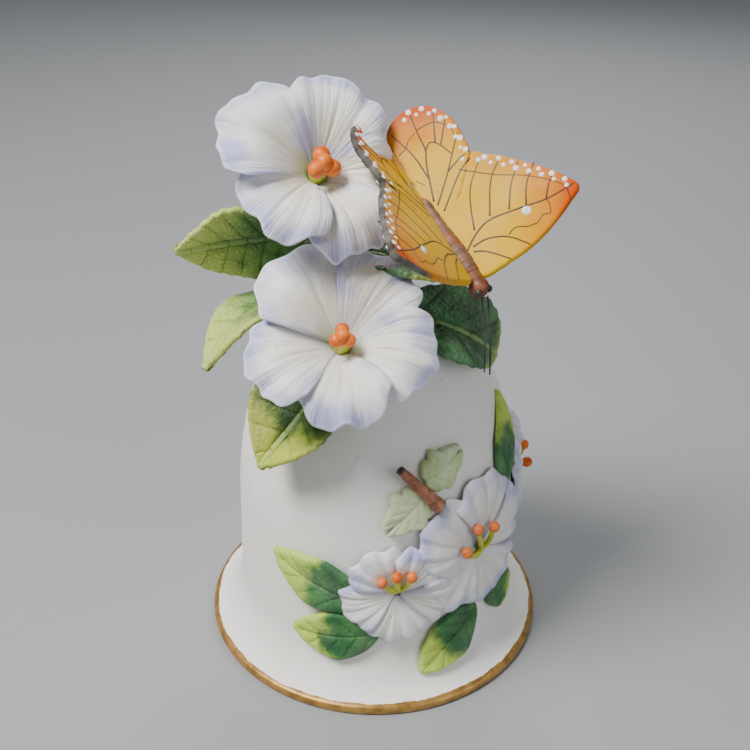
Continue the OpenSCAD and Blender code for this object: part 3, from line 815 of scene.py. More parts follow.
def petal(flower, number, seed):
    """One petal, from the direction, spread, length and cup that its node has."""
    node = f"{flower.which}_petal_{number}"
    own = flower.inside(corners(node))
    reach = np.hypot(own[:, 0], own[:, 1])
    far = own[reach > 5]
    way = math.atan2(far[:, 1].mean(), far[:, 0].mean())
    turn = np.angle(np.exp(1j * (np.arctan2(far[:, 1], far[:, 0]) - way)))
    way += (turn.max() + turn.min()) / 2
    spread = (turn.max() - turn.min()) / 2
    length, start, cup = reach.max(), max(reach.min(), 1.2), own[:, 2].max() - 0.9
    rng = np.random.default_rng(seed)
    phase = rng.uniform(0, 2 * math.pi, 6)

    s = np.linspace(0, 1, 90) ** 0.9
    s = 0.5 * (s + even_steps(90, 0, 1))
    t = even_steps(120)
    s, t = np.meshgrid(s, t, indexing="ij")
    rim = 1 - 0.27 * np.abs(t) ** 3 + 0.026 * np.sin(8 * t + phase[0]) + 0.014 * np.sin(17 * t + phase[1])
    edge = length * rim
    r = start + (edge - start) * s
    x = r / length
    a = way + spread * t * (1.0 + 0.07 * np.sin(math.pi * s))
    h = cup * np.sin(np.minimum(1, x / 0.75) * math.pi / 2) ** 0.8 - 18 * np.maximum(0, x - 0.6) ** 2
    h = h + 1.25 * t * np.minimum(1, 2 * x)
    ruffle = np.cos(9.42 * t) + 0.55 * np.sin(13 * t + phase[2]) + 0.35 * np.sin(21 * t + phase[3])
    h = h + 0.62 * ruffle * np.clip(x, 0, 1) ** 3.2
    crease = (np.exp(-((t - 0.04 * np.sin(phase[4])) / 0.07) ** 2)
              * np.sin(np.clip(s * 1.15, 0, 1) * math.pi) ** 0.7)
    ridges = np.cos(t * 26 + 2.0 * np.sin(3 * s + phase[4])) + 0.7 * np.cos(t * 43 + phase[5] + 2 * s)
    fan = np.sin(np.clip(s, 0, 1) * math.pi) ** 0.8
    h = h - 0.34 * crease + 0.042 * ridges * fan
    h = h + 0.35 * np.sin(3.3 * t + phase[1]) * np.sin(math.pi * s)

    local = np.stack([r * np.cos(a), r * np.sin(a), h - 0.55], axis=2)
    to_side = (1 - np.abs(t)) * spread * r
    to_rim = (1 - s) * (edge - start)
    half = np.minimum(rounded(to_side, 0.55), rounded(to_rim, 0.55)) * (1 - 0.25 * x)
    half[0] = half[1]
    margin = np.clip(1 - np.minimum(to_rim, to_side * 1.6 + 2.5 * (1 - s)) / (0.62 * length), 0, 1)
    # The crease mask is painted shade, strongest in the middle crease, along the sides near the throat where
    # the petals lap, and at the throat.
    crease_shade_mask = np.clip(
        crease * 0.22 + np.exp(-to_side / 0.5) * (1 - s) * 0.5 + 0.35 * np.exp(-s / 0.06), 0, 1)
    uv = np.stack([t * spread * 11, r], axis=2)
    piece = sheet_mesh(f"{flower.which}_petal_{number}_soft", flower.outside(local), half, uv,
                       {"margin": margin, "crease": crease_shade_mask}, closed_start=True)
    return fit_out(piece, "bell", "petal_bisque", petal_finish, node)


upper, lower = Flower("upper"), Flower("lower")
for number in range(1, 6):
    petal(upper, number, 10 + number)
    petal(lower, number, 20 + number)
print("petals:", made("upper_petal", "lower_petal"), "with throats at",
      [tuple(round(float(c), 1) for c in f.throat) for f in (upper, lower)])


# %% Calyx, pistil and anthers
def flower_middle(flower):
    """The green calyx behind a flower, its yellow green column and its knot of orange anthers."""
    calyx = flower.inside(corners(flower.which + "_calyx"))
    low, high = calyx[:, 2].min(), calyx[:, 2].max()
    narrow = np.hypot(*calyx[calyx[:, 2] < low + 0.1][:, :2].T).max()
    wide = np.hypot(*calyx[calyx[:, 2] > high - 0.1][:, :2].T).max()
    rise = np.linspace(0, 1, 60)
    swell = narrow + (wide - narrow) * rise**0.7 + 0.25 * np.sin(math.pi * rise)
    swell[:3] *= (0.75, 0.92, 0.98)
    ribs = lambda up, turn: 1 + 0.06 * np.cos(5 * turn) * np.clip((up - low) / (high - low), 0, 1)
    cup = turned(flower.which + "_calyx_ribbed", flower.throat, flower.z,
                 low + (high - low) * rise, swell, 80, ribs)
    fit_out(cup, "bell", "stem_green", stem_green, flower.which + "_calyx")

    column = flower.inside(corners(flower.which + "_pistil"))
    low, high = column[:, 2].min(), column[:, 2].max()
    thick = np.hypot(column[:, 0], column[:, 1]).max()
    rise = np.linspace(0, 1, 30)
    dents = lambda up, turn: 1 + 0.05 * np.cos(3 * turn + up)
    stalk = turned(flower.which + "_column", flower.throat, flower.z, low + (high - low) * rise,
                   thick * (1 - 0.18 * rise), 40, dents)
    fit_out(stalk, "bell", "pistil_paint", pistil_paint, flower.which + "_pistil")

    knot = flower.inside(corners(flower.which + "_anthers"))
    above = 0.8
    radius = (knot[:, 2].max() - knot[:, 2].min() - above) / 2
    level = knot[:, 2].min() + radius
    out = np.hypot(knot[:, 0], knot[:, 1]).max() - radius
    places = [(0.0, 0.0, level + above)]
    places += [(out * math.cos(k), out * math.sin(k), level)
               for k in math.pi / 2 + np.arange(3) * 2 * math.pi / 3]
    lobes = [ball(f"{flower.which}_anther_{k}", flower.outside(np.array(p)), radius, 36, 0.035, k)
             for k, p in enumerate(places)]
    fit_out(merged(flower.which + "_anther_knot", lobes), "bell", "anther_paint", anther_paint,
            flower.which + "_anthers")


flower_middle(upper)
flower_middle(lower)
print("flower middles:", made("upper_anther", "lower_anther"))

# %% [markdown]
# ## Leaves
#
# A leaf is the same on both sides of its midrib, so the plane of the midrib is the one in which the
# node is its own mirror image. In that plane the midrib is a gentle curve. The leaf's length, width
# and fold are measured along and across it, and the new sheet follows the same curve with what a
# real one has: a raised midrib, side veins pressed in pairs, a saw-toothed margin and a slight wave.


# %% Leaf frame and leaf
def leaf_shape(name):
    """The midrib curve, the mirror direction, the width and the fold of a leaf's node."""
    points = corners(name)
    centre, axes = principal_axes(points)

    def mismatch(axis):
        other = points - 2 * ((points - centre) @ axis)[:, None] * axis
        gaps = np.linalg.norm(points[:, None] - other[None], axis=2)
        return gaps.min(axis=1).max()

    side = min(axes, key=mismatch)
    in_plane = [axis for axis in axes if axis is not side]
    spine = points[np.abs((points - centre) @ side) < 0.05] - centre
    u_dir = in_plane[0]
    v_dir = np.cross(side, u_dir)
    u, v = spine @ u_dir, spine @ v_dir
    fit = np.polyfit(u, v, 4)
    span = np.abs((points - centre) @ side)
    widest = points[span > span.max() - 0.02] - centre
    u_wide, v_wide = (widest @ u_dir).mean(), (widest @ v_dir).mean()
    if abs(u_wide - u.min()) > abs(u_wide - u.max()):
        u_dir, u, u_wide = -u_dir, -u, -u_wide
        fit = np.polyfit(u, v, 4)
    lift = v_wide - np.polyval(fit, u_wide)
    if lift < 0:
        v_dir, lift, fit = -v_dir, -lift, -fit
    return dict(centre=centre, side=np.cross(v_dir, u_dir), u=u_dir, v=v_dir, fit=fit,
                ends=(u.min(), u.max()), width=span.max(), lift=lift)


def along_midrib(shape, s):
    """Points, directions and upward normals on the midrib at shares s of its length."""
    low, high = shape["ends"]
    stretch = (high - low) * 0.02
    u = np.linspace(low - stretch, high + stretch, 400)
    v = np.polyval(shape["fit"], u)
    length = np.concatenate([[0], np.cumsum(np.hypot(np.diff(u), np.diff(v)))])
    at_u = np.interp(s * length[-1], length, u)
    slope = np.polyval(np.polyder(shape["fit"]), at_u)
    scale = 1 / np.sqrt(1 + slope**2)
    ahead = scale[:, None] * (shape["u"] + slope[:, None] * shape["v"])
    normal = scale[:, None] * (shape["v"] - slope[:, None] * shape["u"])
    place = (shape["centre"] + at_u[:, None] * shape["u"]
             + np.polyval(shape["fit"], at_u)[:, None] * shape["v"])
    return place, ahead, normal, length[-1]


def vein_field(s, t, pairs, tilt=0.55):
    """How close a point of a leaf is to its midrib or to a side vein, from 0 to 1."""
    mid = np.exp(-((t * (1.15 - s)) / 0.032) ** 2)
    where = (s - tilt * 0.26 * np.abs(t) ** 0.8) * pairs
    gap = np.abs(where - np.round(where)) / pairs
    rib = np.exp(-((gap) / 0.008) ** 2) * np.clip((1 - np.abs(t)) * 4, 0, 1) * np.clip(s * 8, 0, 1)
    return mid, rib


def leaf(node, material, pairs=7, teeth=0.05, wave=0.35, seed=1):
    shape = leaf_shape(node)
    rng = np.random.default_rng(seed)
    phase = rng.uniform(0, 2 * math.pi, 4)
    s = even_steps(110, 0.0, 1.0)
    t = even_steps(64)
    place, _, normal, length = along_midrib(shape, s)
    s2, t2 = np.meshgrid(s, t, indexing="ij")
    grow = np.sin(math.pi * np.clip(s2, 0.004, 0.996) ** 0.8) ** 0.85
    saw = (np.abs(((s2 * 11 + 0.25 * np.sin(phase[0])) % 1) - 0.5) * 2 - 0.5) * teeth * np.abs(t2) ** 5
    half_width = shape["width"] * grow * (1 + saw)
    lift = shape["lift"] * grow * np.abs(t2) ** 1.15
    lift = lift + wave * np.sin(s2 * 9 + phase[1]) * t2**2 + 0.2 * np.sin(s2 * 17 + phase[2]) * t2**4
    mid, rib = vein_field(s2, t2, pairs)
    edge_of_mid = np.exp(-((np.abs(t2) * (1.15 - s2) - 0.055) / 0.022) ** 2)
    puff = (np.sin(math.pi * np.abs((s2 - 0.143 * np.abs(t2) ** 0.8) * pairs % 1))
            * np.clip(np.abs(t2) * 3, 0, 1))
    lift = (lift + 0.30 * mid - 0.45 * edge_of_mid - 0.30 * rib
            + 0.34 * puff * np.clip((1 - np.abs(t2)) * 3, 0, 1) * grow)
    sheet = place[:, None] + (t2 * half_width)[..., None] * shape["side"] + lift[..., None] * normal[:, None]
    to_side = (1 - np.abs(t2)) * half_width
    to_end = np.minimum(s2, 1 - s2) * length
    half = np.minimum(rounded(to_side, 0.6), rounded(to_end, 0.6))
    half[:, 0] = half[:, -1] = half[0] = half[-1] = 0
    uv = np.stack([t2 * half_width, s2 * length], axis=2)
    # The vein mask marks the pressed grooves beside the midrib and along the side veins, which the leaf paint
    # darkens as painted shade.
    masks = {"tip": np.clip(s2 + 0.25 * np.abs(t2) ** 3 * s2, 0, 1.2),
             "vein": np.maximum(edge_of_mid * 0.8, rib * 0.95), "midrib": mid}
    made = sheet_mesh(node.replace("leaf_", "blade_"), sheet, half, uv, masks)
    slot = "relief_leaf_paint" if node.startswith("relief") else "leaf_paint"
    return fit_out(made, "bell", slot, material, node)


leaf("leaf_upper_left", leaf_light, seed=1)
leaf("leaf_middle_left", leaf_light, seed=2, wave=0.6)
leaf("leaf_lower_left", leaf_low, pairs=5, seed=3, wave=0.5)
# The right, centre and back leaves take the darker leaf paint, which is partly their own darker green and
# partly painted shade.
leaf("leaf_right", leaf_dark_and_shaded, seed=4, teeth=0.08)
leaf("leaf_centre", leaf_dark_and_shaded, seed=5)
leaf("leaf_back_left", leaf_dark_and_shaded, seed=6)
leaf("leaf_back_right", leaf_dark_and_shaded, seed=7)

for stem in ("main_stem", "butterfly_stem"):
    nodes[stem].data.materials.clear()
    nodes[stem].data.materials.append(stem_green)
print("leaves:", made("blade_"))

# %% [markdown]
# ## The butterfly
#
# The insect's own frame starts at its tail and runs along its body. Each wing lies in a plane through
# the body, so a place on a wing is two numbers in millimetres: how far along the body, and how far out
# from it. The outline is read from the node in these numbers. The veins are written in them too, as a
# few points each, and the same pattern serves the wing and its mirror image, above and below.


# %% Insect frame
insect_trunk = corners("butterfly_body")
insect_head_points = corners("butterfly_head")
body_centre, body_axes = principal_axes(insect_trunk)
forward = body_axes[0]
if (insect_head_points.mean(axis=0) - body_centre) @ forward < 0:
    forward = -forward
tail_end = body_centre + ((insect_trunk - body_centre) @ forward).min() * forward
TAIL_OVERHANG = 0.8


class Wing:
    """The plane of one wing: along the body, out from the body, and up from the wing's back."""

    def __init__(self, name, back):
        self.name = name
        points = corners(name)
        centre, axes = principal_axes(points)
        self.up = axes[2] if axes[2] @ back > 0 else -axes[2]
        self.along = unit(forward - (forward @ self.up) * self.up)
        self.out = np.cross(self.up, self.along)
        if (centre - body_centre) @ self.out < 0:
            self.out = -self.out
        high = (points @ self.up).max() - (points @ self.up).min()
        level = ((points @ self.up).max() + (points @ self.up).min()) / 2
        zero = tail_end + TAIL_OVERHANG * forward
        self.origin = zero + (level - zero @ self.up) * self.up
        self.half = high / 2
        flat = np.column_stack([(points - self.origin) @ self.along, (points - self.origin) @ self.out])
        self.outline = flat[(points @ self.up) > level]

    def place(self, along, out, up):
        """Points on the wing, with the gentle bow that a hand-pressed wing has."""
        bow = (0.45 * np.sin(np.clip(out / 24, 0, 1) * math.pi)
               - 0.30 * np.sin(np.asarray(along) * 0.42) * np.clip(out / 14, 0, 1))
        return self.origin + np.multiply.outer(along, self.along) + np.multiply.outer(out, self.out) \
            + np.multiply.outer(up + bow * 0.6, self.up)


left_out = corners("butterfly_forewing_left").mean(axis=0) - body_centre
right_out = corners("butterfly_forewing_right").mean(axis=0) - body_centre
back_way = unit(left_out - (left_out @ forward) * forward) + unit(right_out - (right_out @ forward) * forward)
wings = {key: Wing("butterfly_" + key, back_way)
         for key in ("forewing_left", "hindwing_left", "forewing_right", "hindwing_right")}
print("insect:", round(float(((insect_trunk - body_centre) @ forward).max() * 2), 1), "mm; wing thickness",
      round(2 * wings["forewing_left"].half, 2))

# %% Wing pattern
# Veins as points [along the body, out from it] in millimetres, with the width at their start.
fore_veins = [
    ([(12.6, 1.2), (10.6, 4.6), (9.8, 8), (11, 13.2), (12.3, 18), (12.6, 22), (12.6, 23.6)], 0.50),
    ([(3.6, 2.2), (-0.4, 7.6), (-2.2, 11.2)], 0.42),
    ([(9.8, 4.8), (5.6, 6.6), (2.4, 8.6), (-0.8, 12.4)], 0.42),
    ([(9.2, 8.4), (3.7, 12), (1, 15.6)], 0.42),
    ([(10.2, 11.8), (6.4, 14.6), (3.4, 18)], 0.42),
    ([(11.4, 14.6), (8, 16.8), (5.2, 20)], 0.42),
    ([(12.4, 18), (10.2, 20), (8.6, 22)], 0.42),
    ([(-1.4, 8.4), (3, 13), (6.6, 17.6), (10.4, 21), (12.5, 22.2)], 0.28),
    ([(14, 9.4), (13.6, 11), (14.6, 12.8), (15, 14.6), (14.4, 16.2), (14.8, 17.4), (13.2, 18.2),
      (12.4, 18.1)], 0.28),
    ([(12.2, 3), (12.5, 6), (14.4, 9.2), (17.7, 11.6)], 0.48),
    ([(13, 2.6), (14.4, 4.6), (17.9, 7.4)], 0.48),
    ([(12.8, 22.1), (14.6, 21.6)], 0.32),
]
hind_veins = [
    ([(2, 1.8), (-2, 6.4), (-7.6, 12)], 0.46),
    ([(1, 1.6), (-5.4, 4), (-8.2, 5.4), (-12, 5.9), (-15.6, 6.6)], 0.46),
    ([(-3.4, 3.1), (-8.6, 3), (-14.6, 1.7)], 0.44),
    ([(-8.1, 5.4), (-8.9, 6.8), (-7.6, 8), (-5.4, 8.7), (-4.6, 9)], 0.42),
    ([(-8.3, 7.6), (-11, 9), (-14, 10.6)], 0.42),
    ([(-7.4, 8.3), (-10, 10.5), (-11.6, 12)], 0.42),
    ([(-2.2, 6.7), (-3, 9.4), (-3.2, 11)], 0.42),
    ([(-10.6, 2.7), (-11.6, 3.8), (-12.2, 5.7)], 0.28),
    ([(-12.4, 6.1), (-11.9, 9.2), (-9.6, 11.2), (-7, 11.2)], 0.28),
    ([(-4.2, 0.9), (-2.4, 1.9)], 0.28),
    ([(-10.2, 0.9), (-10.6, 2.7)], 0.28),
]


def round_outline(wing, root, count):
    """The outline as a radius at even angles about a root, from the corners of the node."""
    away = wing.outline - root
    turn = np.arctan2(away[:, 1], away[:, 0])
    order = np.argsort(turn)
    turn, far = turn[order], np.hypot(*away.T)[order]
    turn = np.concatenate([turn - 2 * math.pi, turn, turn + 2 * math.pi])
    far = np.tile(far, 3)
    angle = np.linspace(-math.pi, math.pi, count, endpoint=False)
    return angle, np.interp(angle, turn, far)


def edge_gap(points, outline):
    """The distance of each point to the nearest stretch of a closed outline."""
    a, b = outline, np.roll(outline, -1, axis=0)
    ab = b - a
    best = np.full(len(points), 1e9)
    for k in range(len(a)):
        u = np.clip(((points - a[k]) @ ab[k]) / (ab[k] @ ab[k] + 1e-12), 0, 1)
        best = np.minimum(best, np.hypot(*(points - a[k] - u[:, None] * ab[k]).T))
    return best


def strip(wing, points, width, face, name):
    """A vein: a low rounded ridge along a curve on one face of a wing, narrower toward its end."""
    path = curve_through(points, 8 * len(points))
    ahead = np.gradient(path, axis=0)
    ahead /= np.linalg.norm(ahead, axis=1, keepdims=True)
    beside = np.column_stack([-ahead[:, 1], ahead[:, 0]])
    share = np.linspace(0, 1, len(path))
    half = width * 0.62 * (1 - 0.40 * share)
    half[-1] *= 0.3
    section = [(-1, -0.16), (-0.55, 0.035), (0, 0.055), (0.55, 0.035), (1, -0.16)]
    rings = np.zeros((len(path), len(section), 3))
    for k, (side, up) in enumerate(section):
        at = path + beside * (side * half)[:, None]
        rings[:, k] = wing.place(at[:, 0], at[:, 1], np.full(len(path), face * (wing.half + up)))
    return ring_mesh(name, rings if face > 0 else rings[:, ::-1])


def dome(wing, along, out, radius, face, name):
    """A dot of thick white paint on one face of a wing."""
    turn = np.linspace(0, 2 * math.pi, 16, endpoint=False)
    rings = np.zeros((6, 16, 3))
    for k, (share, up) in enumerate(
            [(1.0, -0.16), (1.0, 0.01), (0.85, 0.06), (0.6, 0.09), (0.3, 0.11), (0.08, 0.115)]):
        rings[k] = wing.place(along + radius * share * np.cos(turn), out + radius * share * np.sin(turn),
                              np.full(16, face * (wing.half + up)))
    return ring_mesh(name, rings if face > 0 else rings[:, ::-1])


def wing_piece(key, root, veins, outer_from, outer_over, dot_run, spots=(), rim_width=0.0):
    """A wing with its veins and dots, as one piece with a finish for each."""
    wing = wings[key]
    root = np.array(root, float)
    count = 300
    angle, far = round_outline(wing, root, count)
    outline = root + np.column_stack([far * np.cos(angle), far * np.sin(angle)])
    share = 1 - (1 - np.linspace(0, 1, 56)) ** 1.7
    share[0] = 0.004
    flat = root + share[:, None, None] * (outline - root)[None]
    gap = edge_gap(flat.reshape(-1, 2), outline).reshape(flat.shape[:2])
    gap[-1] = 0
    half = rounded(gap, wing.half) * np.where(gap > 0, 1, 0)
    sheet = wing.place(flat[..., 0], flat[..., 1], np.zeros(gap.shape))
    reach = np.hypot(flat[..., 0] - outer_from[0], flat[..., 1] - outer_from[1])
    outer = np.clip(reach / outer_over, 0, 1.3)
    inner_part = flat[..., 1] < 2.5
    off_margin = np.abs((angle - dot_run[0] + math.pi) % (2 * math.pi) - math.pi) - dot_run[1]
    on_margin = np.clip(1 - off_margin / 0.45, 0, 1) ** 0.5
    rim = np.clip(1 - gap / max(rim_width, 1e-6), 0, 1) * ~inner_part * (rim_width > 0) * on_margin
    piece = sheet_mesh(key + "_sheet", sheet, half, flat.copy(), {"outer": outer, "rim": rim},
                       wraps=True, closed_start=True)
    piece.data.materials.append(wing_finish)
    lines, spots_made = [], []
    inward = root * 0.3 + outline.mean(axis=0) * 0.7
    run = np.abs((angle - dot_run[0] + math.pi) % (2 * math.pi) - math.pi) < dot_run[1]
    edge_line = outline[run]
    edge_turn = (angle[run] - dot_run[0] + math.pi) % (2 * math.pi)
    edge_line = edge_line[np.argsort(edge_turn)]
    length = np.concatenate([[0], np.cumsum(np.hypot(*np.diff(edge_line, axis=0).T))])
    for face in (1, -1):
        lines += [strip(wing, points, width, face, "vein") for points, width in veins]
        for k, at in enumerate(np.arange(0.9, length[-1] - 0.5, 1.32)):
            spot = np.array([np.interp(at, length, edge_line[:, 0]), np.interp(at, length, edge_line[:, 1])])
            step_in = unit(inward - spot) * (0.85 if k % 2 else 1.75)
            size = (0.42, 0.50, 0.38, 0.56, 0.46)[k % 5]
            spots_made.append(dome(wing, *(spot + step_in), size, face, "dot"))
        spots_made += [dome(wing, *spot, face, "dot") for spot in spots]
    lines = merged(key + "_veins", lines)
    lines.data.materials.append(vein_ink)
    spots_made = merged(key + "_dots", spots_made)
    spots_made.data.materials.append(dot_white)
    whole = merged(key + "_painted", [piece, lines, spots_made])
    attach(whole, "bell")
    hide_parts("butterfly_" + key)
    return whole


for half_name, rim_width in (("left", 0.0), ("right", 1.1)):
    wing_piece("forewing_" + half_name, (11.0, 3.0), fore_veins, (8, 2), 21, (2.02, 0.56),
               [(12.1, 14.2, 0.85)], rim_width)
    wing_piece("hindwing_" + half_name, (0.0, 3.0), hind_veins, (3, 2), 19, (2.45, 0.64), (), rim_width)
print("wings:", made("forewing", "hindwing"), "with", len(fore_veins) + len(hind_veins),
      "veins on each face of each pair")

# %% Insect body, head and feelers
trunk = (insect_trunk - tail_end) @ forward
trunk_line = insect_trunk - tail_end - trunk[:, None] * forward
trunk_middle = trunk_line.mean(axis=0)
trunk_r = np.linalg.norm(trunk_line - trunk_middle, axis=1)
marks = np.unique(np.round(trunk, 1))
girth = np.array([trunk_r[np.abs(trunk - m) < 0.15].max() for m in marks])
fine = np.linspace(marks[0], marks[-1], 150)
smooth_girth = np.interp(fine, marks, girth)
smooth_girth = np.convolve(np.pad(smooth_girth, 5, mode="edge"), np.ones(11) / 11, "valid")
end_round = np.sqrt(np.clip(1 - np.clip(1 - (fine - fine[0]) / 1.2, 0, 1) ** 2, 0.02, 1))
segments = 1 - 0.055 * np.abs(np.sin(fine * 1.55)) ** 6 - 0.02 * np.abs(np.sin(fine * 4.3 + 0.4)) ** 4
hairy = lambda up, turn: 1 + 0.015 * np.sin(9 * turn + up * 2)
trunk_piece = turned("insect_trunk", tail_end + trunk_middle + 0.30 * unit(back_way), forward, fine,
                     smooth_girth * end_round * segments, 56, hairy)
fit_out(trunk_piece, "bell", "insect_brown", insect_body, "butterfly_body")

head_far = (insect_head_points - tail_end) @ forward
head_r = (head_far.max() - head_far.min()) / 2
head_centre = tail_end + trunk_middle + (head_far.max() - head_r) * forward
head_piece = ball("insect_skull", head_centre, head_r * 0.98, 56, 0.02)
head_piece.data.materials.append(insect_head)
sideways = unit(np.cross(back_way, forward))
back_up = unit(np.cross(forward, sideways))
eyes = []
for side in (-1, 1):
    at = head_centre + head_r * (0.60 * forward + side * 0.58 * sideways + 0.34 * back_up)
    eye = ball(f"eye_{side}", at, head_r * 0.36, 28)
    eye.data.materials.append(ink)
    eyes.append(eye)
skull = merged("insect_head", [head_piece, *eyes])
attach(skull, "bell")
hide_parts("butterfly_head")

feelers = []
feeler_points = corners("butterfly_antennae")
centre, axes = principal_axes(feeler_points)
halves = feeler_points @ axes[1]
middle = (halves.max() + halves.min()) / 2
for k, own in enumerate((feeler_points[halves < middle], feeler_points[halves >= middle])):
    top_end = own[own[:, 2] > own[:, 2].max() - 0.6].mean(axis=0)
    low_end = own[own[:, 2] < own[:, 2].min() + 0.6].mean(axis=0)
    way = np.linspace(0, 1, 40)[:, None]
    path = top_end * (1 - way) + low_end * way + np.array((0.25, -0.35, 0)) * np.sin(way * math.pi)
    feelers.append(swept(f"feeler_{k}", path, np.full(40, 0.15), 14))
fit_out(merged("insect_feelers", feelers), "bell", "antenna_wire", wire_black, "butterfly_antennae")
print("insect: trunk, head with", len(eyes), "eyes,", len(feelers), "feelers")

# %% [markdown]
# ## Relief on the wall
#
# The relief is pressed from moulds and luted on, so it follows the wall. Places on the wall are an
# azimuth and a height, and every sheet is a height above the wall over such places. Each bloom is five
# separate petals that lap over each other round a sunken throat, with grooves that fan out to a
# scalloped rim.


# %% Wall frame and blooms
WAIST = float(wall_radius(16.0))


def to_wall(points):
    """Arc length along the wall from the front, height, and height above the wall."""
    reach = np.hypot(points[:, 0], points[:, 1])
    return np.column_stack([np.arctan2(points[:, 0], -points[:, 1]) * WAIST, points[:, 2],
                            reach - wall_radius(points[:, 2])])


def from_wall(arc, z, proud):
    turn, reach = arc / WAIST, wall_radius(z) + proud
    return np.stack([reach * np.sin(turn), -reach * np.cos(turn), z], axis=-1)


def bloom(side, turn, seed, shrink=1.0):
    """Five overlapping petals over the middle of a bloom's node."""
    own = to_wall(corners("relief_flower_" + side))
    middle = (own[:, :2].max(axis=0) + own[:, :2].min(axis=0)) / 2
    size = (own[:, 0].max() - own[:, 0].min() + own[:, 1].max() - own[:, 1].min()) / 4 * shrink
    top = own[:, 2].max()
    rng = np.random.default_rng(seed)
    parts = []
    for k in range(5):
        phase = rng.uniform(0, 2 * math.pi, 4)
        s, t = np.meshgrid(even_steps(60, 0.0, 1.0), even_steps(80), indexing="ij")
        spread = math.radians(43)
        edge = size * (1 - 0.22 * np.abs(t) ** 2.6 + 0.040 * np.cos(11 * t + phase[0])
                       + 0.03 * rng.uniform(-1, 1))
        r = 0.8 + (edge - 0.8) * s
        a = turn + k * 2 * math.pi / 5 + spread * t * (0.92 + 0.16 * s)
        x = r / size
        swell = 0.30 + 0.85 * np.sin(np.clip(x, 0, 1) ** 1.2 * 2.25)
        grooves = np.cos(t * 15 + 0.6 * np.sin(phase[1])) * 0.26 * np.clip(x * 1.6 - 0.35, 0, 1) \
            + np.cos(t * 31 + phase[2]) * 0.06 * np.clip(x * 2 - 0.6, 0, 1)
        lap = 0.42 * t * np.clip(x * 2, 0, 1)
        proud = (top * 0.86 * swell - 0.45 + grooves + lap
                 - 0.30 * np.exp(-(t / 0.08) ** 2) * np.sin(math.pi * s))
        to_side = (1 - np.abs(t)) * spread * r
        to_rim = (1 - s) * (edge - 0.8)
        proud = proud - 0.9 * (1 - np.clip(to_rim / 1.4, 0, 1)) ** 2
        sheet = from_wall(middle[0] + r * np.cos(a), middle[1] + r * np.sin(a), proud)
        half = np.minimum(rounded(to_side, 0.55), rounded(to_rim, 0.55))
        half[:, 0] = half[:, -1] = half[-1] = 0
        half[0] = half[1]
        margin = np.clip(1 - np.minimum(to_rim, to_side + 3 * (1 - s)) / (0.6 * size), 0, 1)
        # The crease mask is painted shade, strongest along the sides where the petals lap, in the troughs of
        # the grooves and at the throat.
        crease = np.clip(
            np.exp(-to_side / 0.35) * 0.8 + np.clip(-grooves * 1.5, 0, 0.3) + 0.5 * np.exp(-s / 0.08), 0, 1)
        uv = np.stack([t * spread * size * 0.6, r], axis=2)
        parts.append(sheet_mesh(f"lobe_{side}_{k}", sheet, half, uv,
                                {"margin": margin, "crease": crease}, closed_start=True))
    whole = merged("bloom_" + side, parts)
    return fit_out(whole, "bell", "relief_petal_bisque", relief_petal_finish, "relief_flower_" + side)


bloom("left", math.radians(50), 31)
bloom("right", math.radians(75), 32)
bloom("side", math.radians(80), 33)


def gathered(points, count):
    """Points shared out between a known number of places, each point going to the nearest place."""
    places = [points[np.argmax(np.linalg.norm(points - points.mean(axis=0), axis=1))]]
    while len(places) < count:
        places.append(points[np.argmax(
            np.min([np.linalg.norm(points - at, axis=1) for at in places], axis=0))])
    for _ in range(20):
        owner = np.argmin([np.linalg.norm(points - at, axis=1) for at in places], axis=0)
        places = [points[owner == k].mean(axis=0) for k in range(count)]
    return [points[owner == k] for k in range(count)]


def separate_solids(name):
    """The corners of each solid of a node, found by following the edges that join them."""
    mesh = nodes[name].data
    flat = np.empty(len(mesh.vertices) * 3)
    mesh.vertices.foreach_get("co", flat)
    spots, same = np.unique(np.round(flat.reshape(-1, 3) / MM, 3), axis=0, return_inverse=True)
    same = same.ravel()
    ends = np.array([edge.vertices[:] for edge in mesh.edges])
    first, second = same[ends[:, 0]], same[ends[:, 1]]
    label = np.arange(len(spots))
    while True:
        low = np.minimum(label[first], label[second])
        fresh = label.copy()
        np.minimum.at(fresh, first, low)
        np.minimum.at(fresh, second, low)
        if (fresh == label).all():
            return [spots[label == k] for k in np.unique(label)]
        label = fresh


def stamens(side):
    """Three curved filaments with round heads, from the heads and the foot of a stamens' node.

    It gives back how far apart the two closest heads are, so heads that have run together show up.
    """
    own = corners("relief_stamens_" + side)
    wall = to_wall(own)
    heads = gathered(own[wall[:, 2] > wall[:, 2].max() - 1.0], 3)
    foot_points = own[wall[:, 2] < wall[:, 2].min() + 0.9]
    foot = foot_points.mean(axis=0)
    threads, knobs, spread = [], [], []
    out = unit(np.array((foot[0], foot[1], 0.0)))
    for k, head in enumerate(heads):
        centre = (head.min(axis=0) + head.max(axis=0)) / 2 - 0.45 * out
        spread.append(centre)
        way = np.linspace(0, 1, 30)[:, None]
        sag = (np.array((0.0, 0.0, -0.7)) * np.sin(way * math.pi)
               * (0.4 + abs(to_wall(centre[None])[0, 0] - to_wall(foot[None])[0, 0]) / 5))
        path = foot * (1 - way) + centre * way + sag + out * 0.5 * np.sin(way * math.pi)
        threads.append(swept(f"thread_{side}_{k}", path, np.linspace(0.62, 0.5, 30), 18))
        knobs.append(ball(f"knob_{side}_{k}", centre + 0.15 * out, 1.15, 32, 0.03, k))
    threads = merged("threads_" + side, threads)
    threads.data.materials.append(stamen_yellow)
    knobs = merged("knobs_" + side, knobs)
    knobs.data.materials.append(anther_paint)
    whole = merged("stamen_fan_" + side, [threads, knobs])
    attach(whole, "bell")
    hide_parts("relief_stamens_" + side)
    return round(min(np.linalg.norm(spread[a] - spread[b]) for a, b in ((0, 1), (0, 2), (1, 2))), 2)


closest = [stamens(side) for side in ("left", "right", "side")]
print("blooms:", made("bloom_"), "with the closest heads of their stamens, in mm:", closest)


